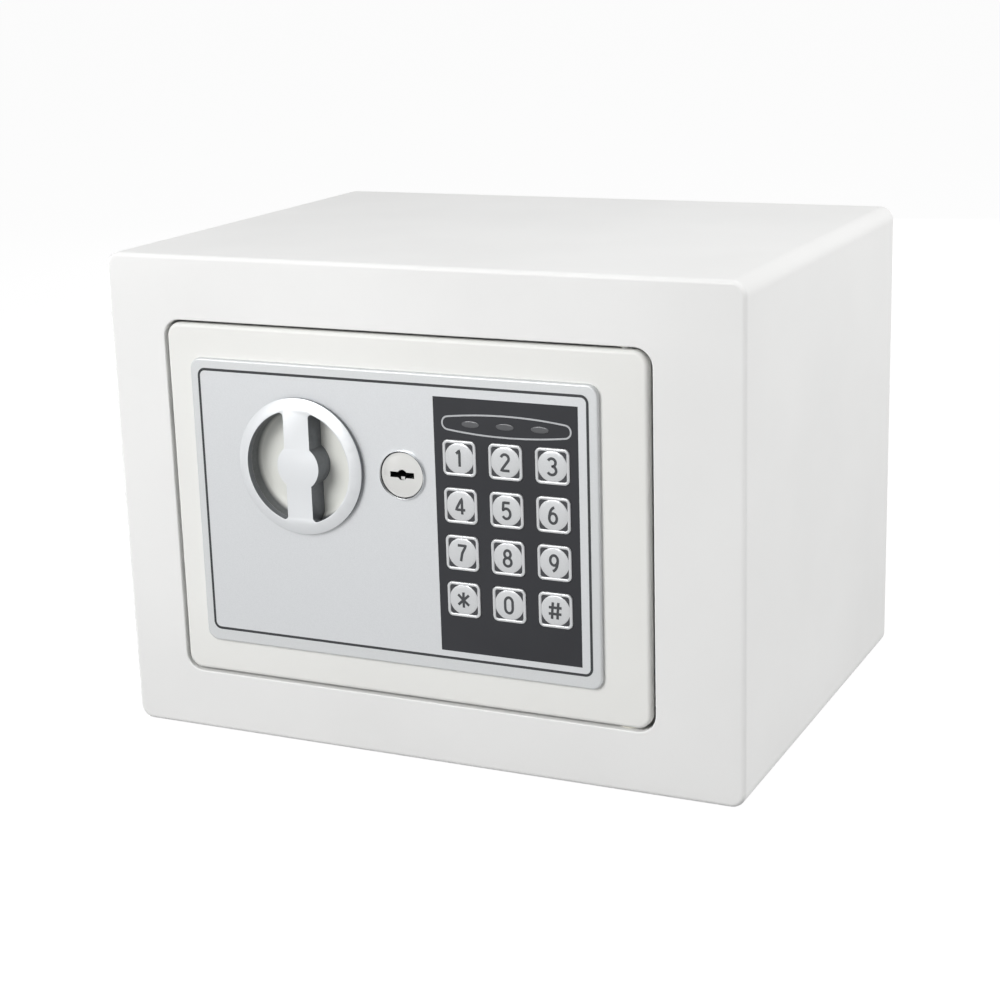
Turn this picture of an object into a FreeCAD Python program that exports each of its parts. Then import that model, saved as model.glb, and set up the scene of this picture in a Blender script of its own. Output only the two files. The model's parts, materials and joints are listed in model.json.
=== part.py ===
import FreeCAD, Part
import math
import os

# Small electronic in-room safe: a wrapped steel cabinet with a welded face, and a flush door on two
# concealed pins that carries the keypad, the turning knob, the override lock and the bolt work.
# Millimetres. +X is right seen from the front, +Y runs to the back wall, +Z is up.
# The origin is the centre of the cabinet's footprint, on the surface it stands on.
# A depth is measured inwards from the front face of the cabinet.

Vector = FreeCAD.Vector
ALONG_X = Vector(1, 0, 0)
ALONG_Y = Vector(0, 1, 0)
ALONG_Z = Vector(0, 0, 1)

# ---------------------------------------------------------------- driving dimensions
# cabinet
body_width = 230.0
body_height = 170.0
body_depth = 170.0
body_corner_radius = 5.0
body_wall = 1.2
face_thickness = 2.0
face_edge_round = 1.5
frame_left = 22.8          # cabinet side to door edge, lock side
frame_right = 31.7         # cabinet side to door edge, hinge side
frame_top = 23.2
frame_bottom = 22.5
gap_free = 1.0             # door to face, on the three free sides
gap_hinge = 1.5
opening_radius = 6.2
opening_edge_round = 0.5
lip_depth = 23.0
lip_thickness = 1.5
back_flange = 12.0
anchor_hole_radius = 5.0
anchor_spacing = 120.0
mat_thickness = 3.0
mat_margin = 1.5
mat_hole_extra = 1.5

# door
fixed_clearance = 0.05     # between curved pieces that are fixed to each other
door_thickness = 3.0
door_corner_radius = 5.0
door_edge_round = 1.4
pan_inset = 2.5
pan_wall = 1.2
pan_depth = 25.0
pan_corner_radius = 3.0
tab_size = 11.0
tab_thickness = 1.5
cover_thickness = 1.0

# hinge
pivot_inset = 9.0          # door's right edge to the hinge axis
pivot_depth = 5.7
pin_radius = 2.5
pin_in_block = 12.0
pin_past_lip = 2.6
bush_clearance = 0.1
bush_wall = 0.8
bush_flange_radius = 3.6
bush_flange = 0.5
hinge_block_width = 11.0
hinge_block_depth = 7.5

# control panel, on the door's front
panel_width = 149.9
panel_height = 101.0
panel_radius = 4.0
panel_thickness = 1.6
panel_edge_round = 0.8
panel_left_margin = 9.6    # door's left edge to the panel
panel_top_margin = 11.3    # door's top edge to the panel

# keypad
fascia_width = 50.8
fascia_height = 86.5
fascia_right_margin = 6.85 # panel's right edge to the fascia
key_size = 11.9
key_corner_radius = 1.9
key_pitch_x = 16.4
key_pitch_z = 16.0
first_row_drop = 20.0      # fascia's top edge to the first row
key_proud = 0.5
key_travel = 0.8
key_clearance = 0.15
key_flange_gap = 0.1
key_stem = 0.2
key_flange = 0.8           # how far the flange reaches past the cap, and its thickness
key_rim_width = 0.9
key_recess = 0.3
lens_length = 6.2
lens_height = 2.2
lens_pitch = 12.2
lens_drop = 8.5            # fascia's top edge to the lenses
window_margin = 1.75       # ledge of door plate left behind the fascia

# knob
knob_from_left = 42.2      # panel's left edge to the knob's axis
knob_from_top = 34.55
knob_radius = 23.5
dial_inner_radius = 19.5
knob_gap = 0.3
rim_side = 1.4
rim_rise = 1.3
rim_flat = 0.8             # flat ring left round the recess
dial_edge = 0.3
bar_width = 9.6
hub_radius = 7.9
recess_depth = 8.2
recess_corner = 3.0
recess_mouth_round = 1.3
cup_wall = 1.3
cup_clearance = 0.6
spindle_radius = 4.0
spindle_clearance = 0.06
bridge_width = 18.0
bridge_thickness = 1.5
bridge_gap = 1.1           # cup's back to the bridge
bridge_foot = 7.0
crank_radius = 8.4853      # throw that gives the bolt travel over a quarter turn
crank_thickness = 2.0
crank_pin_radius = 2.0
crank_rim = 4.0
crank_gap = 0.3
screw_head_radius = 2.75
screw_head = 1.8
screw_radius = 1.5
cross_reach = 1.6
cross_half = 0.35

# bolt work
bolt_radius = 6.0
bolt_travel = 12.0
bolt_offset_z = 30.0       # door's middle to each bolt
bolt_plate_gap = 1.0
bolt_end_inset = 1.2       # drawn bolt's end behind the door's left edge
upright_gap = 0.6          # thrown carrier's upright to the door pan's side
bolt_hole_clearance = 0.3
bolt_chamfer = 1.0
tail_radius = 3.0
rivet_length = 1.2
strike_clearance = 1.5
carrier_behind_bolt = 3.0  # bolt axis to the carrier's front face
carrier_thickness = 2.0
carrier_strip = 26.0
carrier_end_margin = 8.0
arm_drop = 11.3            # lock axis to the arm's top edge
arm_height = 18.0
arm_end = 17.0             # lock axis to the arm's right end
notch_clearance = 0.4
notch_extra_depth = 0.4
guide_pin_radius = 2.5
guide_post_radius = 4.5
guide_clearance = 0.2
guide_face_gap = 0.3
guide_head = 1.5

# override lock
lock_from_knob = 38.0
flange_radius = 8.4
flange_height = 1.3
flange_chamfer = 0.5
barrel_radius = 7.5
barrel_end_depth = 18.5
plug_face_radius = 7.1
plug_face_thickness = 1.1
plug_radius = 5.5
plug_clearance = 0.08
keyway_width = 8.8
keyway_height = 1.9
keyway_round = 1.8
keyway_depth = 11.0
nut_across_flats = 19.0
nut_thickness = 3.5
cam_length = 31.5
cam_width = 9.0
cam_thickness = 2.0
cam_gap = 0.3
plug_tail_radius = 3.0

# solenoid
plunger_radius = 3.0
plunger_travel = 5.0
plunger_gap = 1.0          # drawn plunger's tip to the carrier's arm
plunger_length = 31.0
plunger_pin_radius = 1.25
plunger_pin_drop = 3.0     # tip to the cross pin
plunger_pin_end_depth = 21.5
collar_drop = 5.0
collar_thickness = 1.5
collar_radius = 5.0
spring_length = 6.5
spring_wire = 0.35
spring_radius = 3.9
spring_turns = 4
coil_radius = 9.0
coil_length = 18.0
coil_cheek = 1.2           # bobbin's end plates
coil_waist = 0.8           # winding's face behind the cheeks' rims
yoke_width = 20.0
yoke_plate = 2.0
ear_length = 6.0
bore_clearance = 0.2

# electronics
switch_gap = 0.1           # pressed key's stem to the switch button
board_thickness = 1.6
board_margin = 7.0
board_side_gap = 1.0
board_screw_inset = 4.0
spacer_radius = 3.0
switch_size = 6.0
switch_height = 3.1
switch_button_radius = 1.7
switch_button = 0.5
led_radius = 1.5
led_height = 3.4
screw_into_plate = 2.0
reset_radius = 2.2
reset_proud = 1.0
reset_travel = 1.2
reset_collar = 1.0
reset_collar_gap = 0.2     # released collar to the cover plate
reset_round = 0.5
reset_from_board_right = 18.0
reset_from_board_top = 18.0

# battery compartment, in the door's back
cell_radius = 7.1
cell_length = 49.0
cell_nub_radius = 2.7
cell_nub = 1.2
cell_count = 4
cell_gap = 0.6
tray_wall = 1.2
tray_depth = 17.0
tray_gap = 0.8             # drawn carrier's arm to the tray
tray_from_bottom = 12.5
contact_thickness = 0.5
contact_room = 2.4
tray_flange = 3.0
tray_flange_thickness = 1.2
rail_width = 2.5
rail_height = 3.2
rail_lip = 1.3
rail_lip_thickness = 1.2
rail_stop = 2.0            # end stop across the rails
lid_thickness = 1.4
lid_gap = 0.3
lid_overlap_left = 0.5     # tray flange's left edge to the lid
grip_inset = 5.0
grip_length = 18.0
grip_count = 5
grip_pitch = 3.0
grip_width = 1.2
grip_height = 0.6

# ---------------------------------------------------------------- places worked out from them
front = -body_depth / 2
back = body_depth / 2


def at(depth):
    """Y of a depth behind the cabinet's front face."""
    return front + depth


door_left = -body_width / 2 + frame_left
door_right = body_width / 2 - frame_right
door_bottom = frame_bottom
door_top = body_height - frame_top
door_middle_z = (door_bottom + door_top) / 2
opening_left = door_left - gap_free
opening_right = door_right + gap_hinge
opening_bottom = door_bottom - gap_free
opening_top = door_top + gap_free
pan_left = door_left + pan_inset
pan_right = door_right - pan_inset
pan_bottom = door_bottom + pan_inset
pan_top = door_top - pan_inset
pan_back = door_thickness + pan_depth
pivot_x = door_right - pivot_inset

panel_left = door_left + panel_left_margin
panel_right = panel_left + panel_width
panel_top = door_top - panel_top_margin
panel_bottom = panel_top - panel_height
panel_face = -panel_thickness
knob_x = panel_left + knob_from_left
knob_z = panel_top - knob_from_top
lock_x = knob_x + lock_from_knob
lock_z = knob_z
fascia_right = panel_right - fascia_right_margin
fascia_left = fascia_right - fascia_width
fascia_bottom = (panel_bottom + panel_top - fascia_height) / 2
fascia_top = fascia_bottom + fascia_height
fascia_middle_x = (fascia_left + fascia_right) / 2
window_left = fascia_left + window_margin
window_right = fascia_right - window_margin
window_bottom = fascia_bottom + board_margin
window_top = fascia_top - window_margin
first_row_z = fascia_top - first_row_drop
lens_z = fascia_top - lens_drop

dial_back = panel_face - knob_gap
rim_front = dial_back - rim_side
dial_front = rim_front - rim_rise
cup_floor = dial_front + recess_depth
cup_back = cup_floor + cup_wall
cup_radius = dial_inner_radius + cup_wall
knob_hole_radius = cup_radius + cup_clearance
bridge_front = cup_back + bridge_gap
bridge_back = bridge_front + bridge_thickness
crank_front = bridge_back + crank_gap
crank_back = crank_front + crank_thickness
crank_angle = math.radians(45)
crank_slack = 0.32         # the quarter turn's chord against a steady feed

bolt_depth = door_thickness + bolt_plate_gap + bolt_radius
carrier_depth = bolt_depth + carrier_behind_bolt
carrier_back = carrier_depth + carrier_thickness
crank_pin_end = carrier_back + 0.8
upright_left = pan_left + pan_wall + upright_gap + bolt_travel
bolt_z = (door_middle_z - bolt_offset_z, door_middle_z + bolt_offset_z)
arm_top = lock_z - arm_drop
arm_bottom = arm_top - arm_height
plunger_tip = arm_bottom - plunger_gap
plunger_depth = carrier_depth + carrier_thickness / 2
collar_bottom = plunger_tip - collar_drop - collar_thickness
yoke_top = collar_bottom - spring_length
yoke_bottom = yoke_top - coil_length - 2 * yoke_plate
yoke_back = plunger_depth + coil_radius
cam_front = barrel_end_depth + cam_gap
cam_back = cam_front + cam_thickness

stem_end = key_flange_gap + key_flange + key_stem
board_depth = stem_end + key_travel + switch_gap + switch_button + switch_height
board_left = fascia_left + board_side_gap
board_right = fascia_right - board_side_gap
board_bottom = window_bottom - board_margin
board_top = window_top + board_margin
board_back = board_depth + board_thickness
reset_x = board_right - reset_from_board_right
reset_z = board_top - reset_from_board_top

tray_inner_width = cell_count * 2 * cell_radius + (cell_count + 1) * cell_gap
tray_inner_height = cell_length + cell_nub + 2 * contact_room
tray_left = lock_x + arm_end + tray_gap
tray_right = tray_left + tray_inner_width + 2 * tray_wall
tray_bottom = pan_bottom + tray_from_bottom
tray_top = tray_bottom + tray_inner_height + 2 * tray_wall
cover_back = pan_back + cover_thickness
tray_floor = cover_back - tray_depth
flange_back = cover_back + tray_flange_thickness
lid_front = flange_back + lid_gap
rail_back = flange_back + rail_height


# ---------------------------------------------------------------- shape helpers
def block(x0, x1, depth0, depth1, z0, z1):
    return Part.makeBox(x1 - x0, depth1 - depth0, z1 - z0, Vector(x0, at(depth0), z0))


def rod_y(x, z, radius, depth0, depth1):
    return Part.makeCylinder(radius, depth1 - depth0, Vector(x, at(depth0), z), ALONG_Y)


def rod_x(x0, x1, depth, z, radius):
    return Part.makeCylinder(radius, x1 - x0, Vector(x0, at(depth), z), ALONG_X)


def rod_z(x, depth, z0, z1, radius):
    return Part.makeCylinder(radius, z1 - z0, Vector(x, at(depth), z0), ALONG_Z)


def slab(x0, x1, z0, z1, radius, depth0, depth1):
    """Rounded rectangle in the XZ plane, extruded from one depth to another."""
    y = at(depth0)
    turn = radius * (1 - math.sqrt(0.5))
    lines = [
        ((x0 + radius, z0), (x1 - radius, z0)),
        ((x1, z0 + radius), (x1, z1 - radius)),
        ((x1 - radius, z1), (x0 + radius, z1)),
        ((x0, z1 - radius), (x0, z0 + radius)),
    ]
    corners = [(x1 - turn, z0 + turn), (x1 - turn, z1 - turn), (x0 + turn, z1 - turn), (x0 + turn, z0 + turn)]
    edges = []
    for i, (start, end) in enumerate(lines):
        following = lines[(i + 1) % 4][0]
        edges.append(Part.LineSegment(Vector(start[0], y, start[1]), Vector(end[0], y, end[1])).toShape())
        middle = Vector(corners[i][0], y, corners[i][1])
        arc = Part.Arc(Vector(end[0], y, end[1]), middle, Vector(following[0], y, following[1]))
        edges.append(arc.toShape())
    return Part.Face(Part.Wire(edges)).extrude(Vector(0, depth1 - depth0, 0))


def slot_x(x0, x1, z, radius, depth0, depth1):
    """Obround along X whose end centres are x0 and x1."""
    middle = block(x0, x1, depth0, depth1, z - radius, z + radius)
    ends = [rod_y(x, z, radius, depth0, depth1) for x in (x0, x1)]
    return middle.fuse(ends).removeSplitter()


def slot_z(x, z0, z1, radius, depth0, depth1):
    """Obround along Z whose end centres are z0 and z1."""
    middle = block(x - radius, x + radius, depth0, depth1, z0, z1)
    ends = [rod_y(x, z, radius, depth0, depth1) for z in (z0, z1)]
    return middle.fuse(ends).removeSplitter()


def turned(x, z, outline):
    """Solid of revolution about a Y axis through (x, z), from (radius, depth) points."""
    points = [Vector(x + radius, at(depth), z) for radius, depth in outline]
    face = Part.Face(Part.makePolygon(points + points[:1]))
    return face.revolve(Vector(x, 0, z), ALONG_Y, 360)


def hexagon(x, z, across_flats, depth0, depth1):
    radius = across_flats / math.sqrt(3)
    corners = [math.radians(60 * i + 30) for i in range(6)]
    points = [Vector(x + radius * math.cos(a), at(depth0), z + radius * math.sin(a)) for a in corners]
    return Part.Face(Part.makePolygon(points + points[:1])).extrude(Vector(0, depth1 - depth0, 0))


def edges_at_depth(shape, depth, keep=None):
    """Edges that lie wholly at one depth; keep can narrow them by their middle point."""
    y = at(depth)
    found = []
    for edge in shape.Edges:
        box = edge.BoundBox
        if abs(box.YMin - y) < 1e-3 and abs(box.YMax - y) < 1e-3:
            if keep is None or keep(edge.BoundBox.Center):
                found.append(edge)
    return found


def screw(x, z, head_front, shank_end):
    """Pan-head screw along Y; the head sits behind head_front and the shank runs forward of it."""
    head = rod_y(x, z, screw_head_radius, head_front, head_front + screw_head)
    rounded = head.makeFillet(0.7, edges_at_depth(head, head_front + screw_head))
    floor = head_front + screw_head * 0.6
    top = head_front + screw_head + 1
    cross = block(x - cross_reach, x + cross_reach, floor, top, z - cross_half, z + cross_half)
    cross = cross.fuse(block(x - cross_half, x + cross_half, floor, top, z - cross_reach, z + cross_reach))
    return rounded.fuse(rod_y(x, z, screw_radius, shank_end, head_front)).cut(cross).removeSplitter()


def mirrored_corners(x0, x1, z0, z1, inset):
    return [(x, z) for x in (x0 + inset, x1 - inset) for z in (z0 + inset, z1 - inset)]


parts = {}


def keep_part(name, *solids):
    shape = solids[0] if len(solids) == 1 else Part.makeCompound(list(solids))
    parts[name] = shape


# ---------------------------------------------------------------- cabinet
def opening_slab(depth0, depth1, grow=0.0):
    return slab(opening_left - grow, opening_right + grow, opening_bottom - grow, opening_top + grow,
                opening_radius + grow, depth0, depth1)


def body_outline(inset, depth0, depth1):
    half = body_width / 2 - inset
    return slab(-half, half, inset, body_height - inset, body_corner_radius - inset, depth0, depth1)


def anchor_floor_holes(radius):
    return [rod_z(x, body_depth / 2, -1, body_wall + mat_thickness + 1, radius)
            for x in (-anchor_spacing / 2, anchor_spacing / 2)]


def make_body_wrap():
    outer = body_outline(0, face_thickness, body_depth)
    inner = body_outline(body_wall, face_thickness - 1, body_depth + 1)
    return outer.cut([inner] + anchor_floor_holes(anchor_hole_radius))


def make_back_panel():
    outer = body_outline(body_wall, body_depth - back_flange, body_depth)
    hollow = body_outline(2 * body_wall, body_depth - back_flange - 1, body_depth - body_wall)
    holes = [rod_y(x, body_height / 2, anchor_hole_radius, body_depth - body_wall - 1, body_depth + 1)
             for x in (-anchor_spacing / 2, anchor_spacing / 2)]
    return outer.cut([hollow] + holes)


def make_front_frame():
    face = body_outline(0, 0, face_thickness)
    face = face.makeFillet(face_edge_round, edges_at_depth(face, 0))
    lip = opening_slab(face_thickness / 2, face_thickness + lip_depth, lip_thickness)
    frame = face.fuse(lip).cut(opening_slab(-1, face_thickness + lip_depth + 1))
    inside = opening_right - opening_left

    def on_opening(centre):
        middle = (opening_left + opening_right) / 2
        return abs(centre.x - middle) < inside / 2 + 0.1

    rim = [e for e in edges_at_depth(frame, 0, on_opening)
           if opening_bottom - 0.1 < e.BoundBox.Center.z < opening_top + 0.1]
    frame = frame.makeFillet(opening_edge_round, rim)
    half = bolt_radius + strike_clearance
    strikes = [block(opening_left - lip_thickness - 1, opening_left + 1, bolt_depth - half, bolt_depth + half,
                     z - half, z + half) for z in bolt_z]
    sleeve = pin_radius + bush_clearance + bush_wall
    pivots = [rod_z(pivot_x, pivot_depth, opening_bottom - lip_thickness - 1, opening_bottom + 1, sleeve),
              rod_z(pivot_x, pivot_depth, opening_top - 1, opening_top + lip_thickness + 1, sleeve)]
    return frame.cut(strikes + pivots).removeSplitter()


def make_hinge_bush(edge, outwards):
    """Nylon bush in the lip; edge is the opening's edge and outwards is +1 at the top, -1 at the bottom."""
    sleeve = pin_radius + bush_clearance + bush_wall
    past = lip_thickness + bush_flange
    low, high = sorted((edge - outwards * bush_flange, edge))
    flange = rod_z(pivot_x, pivot_depth, low, high, bush_flange_radius)
    low, high = sorted((edge, edge + outwards * past))
    tube = rod_z(pivot_x, pivot_depth, low, high, sleeve)
    bore = rod_z(pivot_x, pivot_depth, edge - 5, edge + 5, pin_radius + bush_clearance)
    return flange.fuse(tube).removeSplitter().cut(bore)


def make_floor_mat():
    """Carpet mat on the flat of the floor, from the face to the back panel's flange."""
    half = body_width / 2 - body_corner_radius - mat_margin
    mat = block(-half, half, face_thickness + mat_margin, body_depth - back_flange - mat_margin,
                body_wall, body_wall + mat_thickness)
    return mat.cut(anchor_floor_holes(anchor_hole_radius + mat_hole_extra))


def make_cabinet():
    keep_part("body_wrap", make_body_wrap())
    keep_part("back_panel", make_back_panel())
    keep_part("front_frame", make_front_frame())
    keep_part("hinge_bushes", make_hinge_bush(opening_top, 1), make_hinge_bush(opening_bottom, -1))
    keep_part("floor_mat", make_floor_mat())


# ---------------------------------------------------------------- door shell
def blind_screw_holes():
    """Tapped blind holes in the door plate for the board, the solenoid and the knob bridge."""
    spots = board_screw_spots() + yoke_screw_spots()
    return [rod_y(x, z, screw_radius, door_thickness - screw_into_plate, door_thickness + 1)
            for x, z in spots]


def board_screw_spots():
    return mirrored_corners(board_left, board_right, board_bottom, board_top, board_screw_inset)


def yoke_screw_spots():
    x = lock_x - yoke_width / 2 - ear_length / 2
    return [(x, yoke_bottom + ear_length / 2), (x, yoke_top - ear_length / 2)]


def make_door_plate():
    plate = slab(door_left, door_right, door_bottom, door_top, door_corner_radius, 0, door_thickness)
    plate = plate.makeFillet(door_edge_round, edges_at_depth(plate, 0))
    holes = [
        rod_y(knob_x, knob_z, knob_hole_radius, -1, door_thickness + 1),
        rod_y(lock_x, lock_z, barrel_radius + fixed_clearance, -1, door_thickness + 1),
        block(window_left, window_right, -1, door_thickness + 1, window_bottom, window_top),
    ]
    return plate.cut(holes + blind_screw_holes())


def cover_screw_spots():
    return mirrored_corners(pan_left, pan_right, pan_bottom, pan_top, 4.0)


def make_door_pan():
    outer = slab(pan_left, pan_right, pan_bottom, pan_top, pan_corner_radius, door_thickness, pan_back)
    inner = slab(pan_left + pan_wall, pan_right - pan_wall, pan_bottom + pan_wall, pan_top - pan_wall,
                 pan_corner_radius - pan_wall, door_thickness - 1, pan_back + 1)
    pan = outer.cut(inner)
    tabs = []
    for x, z in mirrored_corners(pan_left, pan_right, pan_bottom, pan_top, tab_size / 2):
        half = tab_size / 2
        tabs.append(block(x - half, x + half, pan_back - tab_thickness, pan_back, z - half, z + half))
    shape = slab(pan_left, pan_right, pan_bottom, pan_top, pan_corner_radius, door_thickness, pan_back)
    pan = pan.fuse([tab.common(shape) for tab in tabs]).removeSplitter()
    holes = [rod_x(pan_left - 1, pan_left + pan_wall + 1, bolt_depth, z, bolt_radius + bolt_hole_clearance)
             for z in bolt_z]
    pin_hole = pin_radius + fixed_clearance
    holes += [rod_z(pivot_x, pivot_depth, pan_bottom - 1, pan_bottom + pan_wall + 1, pin_hole),
              rod_z(pivot_x, pivot_depth, pan_top - pan_wall - 1, pan_top + 1, pin_hole)]
    holes += [rod_y(x, z, screw_radius, pan_back - tab_thickness - 1, pan_back + 1)
              for x, z in cover_screw_spots()]
    return pan.cut(holes)


def hinge_pin_span(outwards):
    """Lowest and highest Z of the top (+1) or bottom (-1) hinge pin."""
    wall = pan_top - pan_wall if outwards > 0 else pan_bottom + pan_wall
    edge = opening_top if outwards > 0 else opening_bottom
    inner = wall - outwards * pin_in_block
    outer = edge + outwards * (lip_thickness + pin_past_lip)
    return min(inner, outer), max(inner, outer)


def make_hinge_block(outwards):
    wall = pan_top - pan_wall if outwards > 0 else pan_bottom + pan_wall
    low, high = sorted((wall, wall - outwards * (pin_in_block + 2)))
    right = pan_right - pan_corner_radius
    solid = block(right - hinge_block_width, right, door_thickness,
                  door_thickness + hinge_block_depth, low, high)
    pin_low, pin_high = hinge_pin_span(outwards)
    return solid.cut(rod_z(pivot_x, pivot_depth, pin_low, pin_high, pin_radius))


def make_back_cover():
    plate = slab(pan_left, pan_right, pan_bottom, pan_top, pan_corner_radius, pan_back, cover_back)
    holes = [
        block(tray_left, tray_right, pan_back - 1, cover_back + 1, tray_bottom, tray_top),
        rod_y(reset_x, reset_z, reset_radius + key_clearance, pan_back - 1, cover_back + 1),
    ]
    holes += [rod_y(x, z, screw_radius + fixed_clearance, pan_back - 1, cover_back + 1)
              for x, z in cover_screw_spots()]
    return plate.cut(holes)


def make_door_shell():
    keep_part("door_plate", make_door_plate())
    keep_part("door_pan", make_door_pan())
    keep_part("hinge_blocks", make_hinge_block(1), make_hinge_block(-1))
    spans = [hinge_pin_span(1), hinge_pin_span(-1)]
    keep_part("hinge_pins", *[rod_z(pivot_x, pivot_depth, low, high, pin_radius) for low, high in spans])
    keep_part("door_back_cover", make_back_cover())
    keep_part("cover_screws", *[screw(x, z, cover_back, pan_back - tab_thickness - 1)
                                for x, z in cover_screw_spots()])


# ---------------------------------------------------------------- control panel and keypad
def key_spots():
    columns = [fascia_middle_x + (i - 1) * key_pitch_x for i in range(3)]
    rows = [first_row_z - i * key_pitch_z for i in range(4)]
    names = ["1", "2", "3", "4", "5", "6", "7", "8", "9", "star", "0", "hash"]
    return {names[3 * r + c]: (columns[c], rows[r]) for r in range(4) for c in range(3)}


def lens_spots():
    return [fascia_middle_x + i * lens_pitch for i in (-1, 0, 1)]


def make_control_panel():
    plate = slab(panel_left, panel_right, panel_bottom, panel_top, panel_radius, panel_face, 0)
    plate = plate.makeFillet(panel_edge_round, edges_at_depth(plate, panel_face))
    holes = [
        rod_y(knob_x, knob_z, knob_hole_radius, panel_face - 1, 1),
        rod_y(lock_x, lock_z, barrel_radius + fixed_clearance, panel_face - 1, 1),
        block(fascia_left, fascia_right, panel_face - 1, 1, fascia_bottom, fascia_top),
    ]
    return plate.cut(holes)


def lens(x, grow, depth0, depth1):
    ellipse = Part.Ellipse(Vector(x, at(depth0), lens_z), lens_length / 2 + grow, lens_height / 2 + grow)
    edge = ellipse.toShape()
    edge.rotate(Vector(x, at(depth0), lens_z), ALONG_X, 90)
    return Part.Face(Part.Wire([edge])).extrude(Vector(0, depth1 - depth0, 0))


def make_fascia():
    plate = block(fascia_left, fascia_right, panel_face, 0, fascia_bottom, fascia_top)
    half = key_size / 2 + key_clearance
    radius = key_corner_radius + key_clearance
    holes = [slab(x - half, x + half, z - half, z + half, radius, panel_face - 1, 1)
             for x, z in key_spots().values()]
    holes += [lens(x, fixed_clearance, panel_face - 1, 1) for x in lens_spots()]
    return plate.cut(holes)


def make_key(x, z):
    """Square key with a raised rim and a low domed disc, kept in by a flange behind the fascia."""
    half = key_size / 2
    cap_front = panel_face - key_proud
    flange_front = key_flange_gap
    cap = slab(x - half, x + half, z - half, z + half, key_corner_radius, cap_front, flange_front)
    inner = half - key_rim_width
    pocket = slab(x - inner, x + inner, z - inner, z + inner, key_corner_radius - key_rim_width / 2,
                  cap_front - 1, cap_front + key_recess)
    disc = rod_y(x, z, inner - 0.02, cap_front - 2, cap_front + key_recess + 0.1)
    cap = cap.cut(pocket.cut(disc))
    reach = half + key_flange
    flange = slab(x - reach, x + reach, z - reach, z + reach, key_corner_radius, flange_front,
                  flange_front + key_flange)
    stem = rod_y(x, z, switch_button_radius, flange_front + key_flange, stem_end)
    return cap.fuse([flange, stem]).removeSplitter()


def make_keypad():
    keep_part("control_panel", make_control_panel())
    keep_part("keypad_fascia", make_fascia())
    keep_part("led_lenses", *[lens(x, 0, panel_face, 0) for x in lens_spots()])
    for name, (x, z) in key_spots().items():
        keep_part("key_" + name, make_key(x, z))


# ---------------------------------------------------------------- knob
def recess_volume(radius, depth0):
    """Round pocket from depth0 to the cup's floor with a rounded bottom corner."""
    pocket = rod_y(knob_x, knob_z, radius, depth0, cup_floor)
    return pocket.makeFillet(recess_corner, edges_at_depth(pocket, cup_floor))


def make_knob_dial():
    """Coned rim with a grip bar and hub across the finger recess."""
    rim = turned(knob_x, knob_z, [
        (0.0, dial_back), (knob_radius - dial_edge, dial_back),
        (knob_radius, dial_back - dial_edge), (knob_radius, rim_front),
        (dial_inner_radius + rim_flat, dial_front), (0.0, dial_front)])
    half = bar_width / 2
    bar = block(knob_x - half, knob_x + half, dial_front, cup_floor,
                knob_z - knob_radius, knob_z + knob_radius)
    grip = bar.fuse(rod_y(knob_x, knob_z, hub_radius, dial_front, cup_floor)).removeSplitter()
    through = rod_y(knob_x, knob_z, dial_inner_radius, dial_front - 1, dial_back + 1)
    mouths = through.cut(grip_outline())
    upright = [e for e in mouths.Edges if e.BoundBox.YLength > recess_mouth_round + 1]
    mouths = mouths.makeFillet(recess_mouth_round, [e for e in upright if is_mouth_corner(e)])
    head = rim.cut(mouths)
    below = grip.common(recess_volume(dial_inner_radius - 2 * fixed_clearance, dial_back))
    return head.fuse(below).removeSplitter()


def grip_outline():
    """The grip's silhouette, deep enough to cut the recess mouths with."""
    half = bar_width / 2
    bar = block(knob_x - half, knob_x + half, dial_front - 2, cup_floor, knob_z - knob_radius,
                knob_z + knob_radius)
    return bar.fuse(rod_y(knob_x, knob_z, hub_radius, dial_front - 2, cup_floor)).removeSplitter()


def is_mouth_corner(edge):
    """True at the four corners where the bar meets the rim, which are the furthest from the axis."""
    centre = edge.BoundBox.Center
    return abs(centre.z - knob_z) > hub_radius + 1 and edge.BoundBox.XLength < 0.01


def make_knob_cup():
    outer = rod_y(knob_x, knob_z, cup_radius, dial_back, cup_back)
    outer = outer.makeFillet(recess_corner, edges_at_depth(outer, cup_back))
    cup = outer.cut(recess_volume(dial_inner_radius, dial_back - 1))
    return cup.cut(rod_y(knob_x, knob_z, spindle_radius + fixed_clearance, cup_floor - 1, cup_back + 1))


def make_bridge():
    """Sheet bridge over the knob's hole in the door plate, with the spindle's bearing in its middle."""
    reach = knob_hole_radius + bridge_foot
    half = bridge_width / 2
    strap = block(knob_x - half, knob_x + half, bridge_front, bridge_back, knob_z - reach, knob_z + reach)
    feet = [block(knob_x - half, knob_x + half, door_thickness, bridge_front, low, low + bridge_foot - 1)
            for low in (knob_z - reach, knob_z + reach - bridge_foot + 1)]
    bore = rod_y(knob_x, knob_z, spindle_radius + spindle_clearance, bridge_front - 1, bridge_back + 1)
    return strap.fuse(feet).removeSplitter().cut(bore)


def crank_pin_spot():
    return (knob_x + crank_radius * math.sin(crank_angle), knob_z + crank_radius * math.cos(crank_angle))


def make_crank():
    x, z = crank_pin_spot()
    hub = rod_y(knob_x, knob_z, spindle_radius + crank_rim, crank_front, crank_back)
    end = rod_y(x, z, crank_pin_radius + crank_rim / 2, crank_front, crank_back)
    pin = rod_y(x, z, crank_pin_radius, crank_back, crank_pin_end)
    crank = hub.fuse([end, pin]).removeSplitter()
    return crank.cut(rod_y(knob_x, knob_z, spindle_radius, crank_front - 1, crank_back + 1))


def make_spindle():
    spindle = rod_y(knob_x, knob_z, spindle_radius, cup_floor, crank_back)
    return spindle.cut(rod_y(knob_x, knob_z, screw_radius, crank_back - 6, crank_back + 1))


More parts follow.
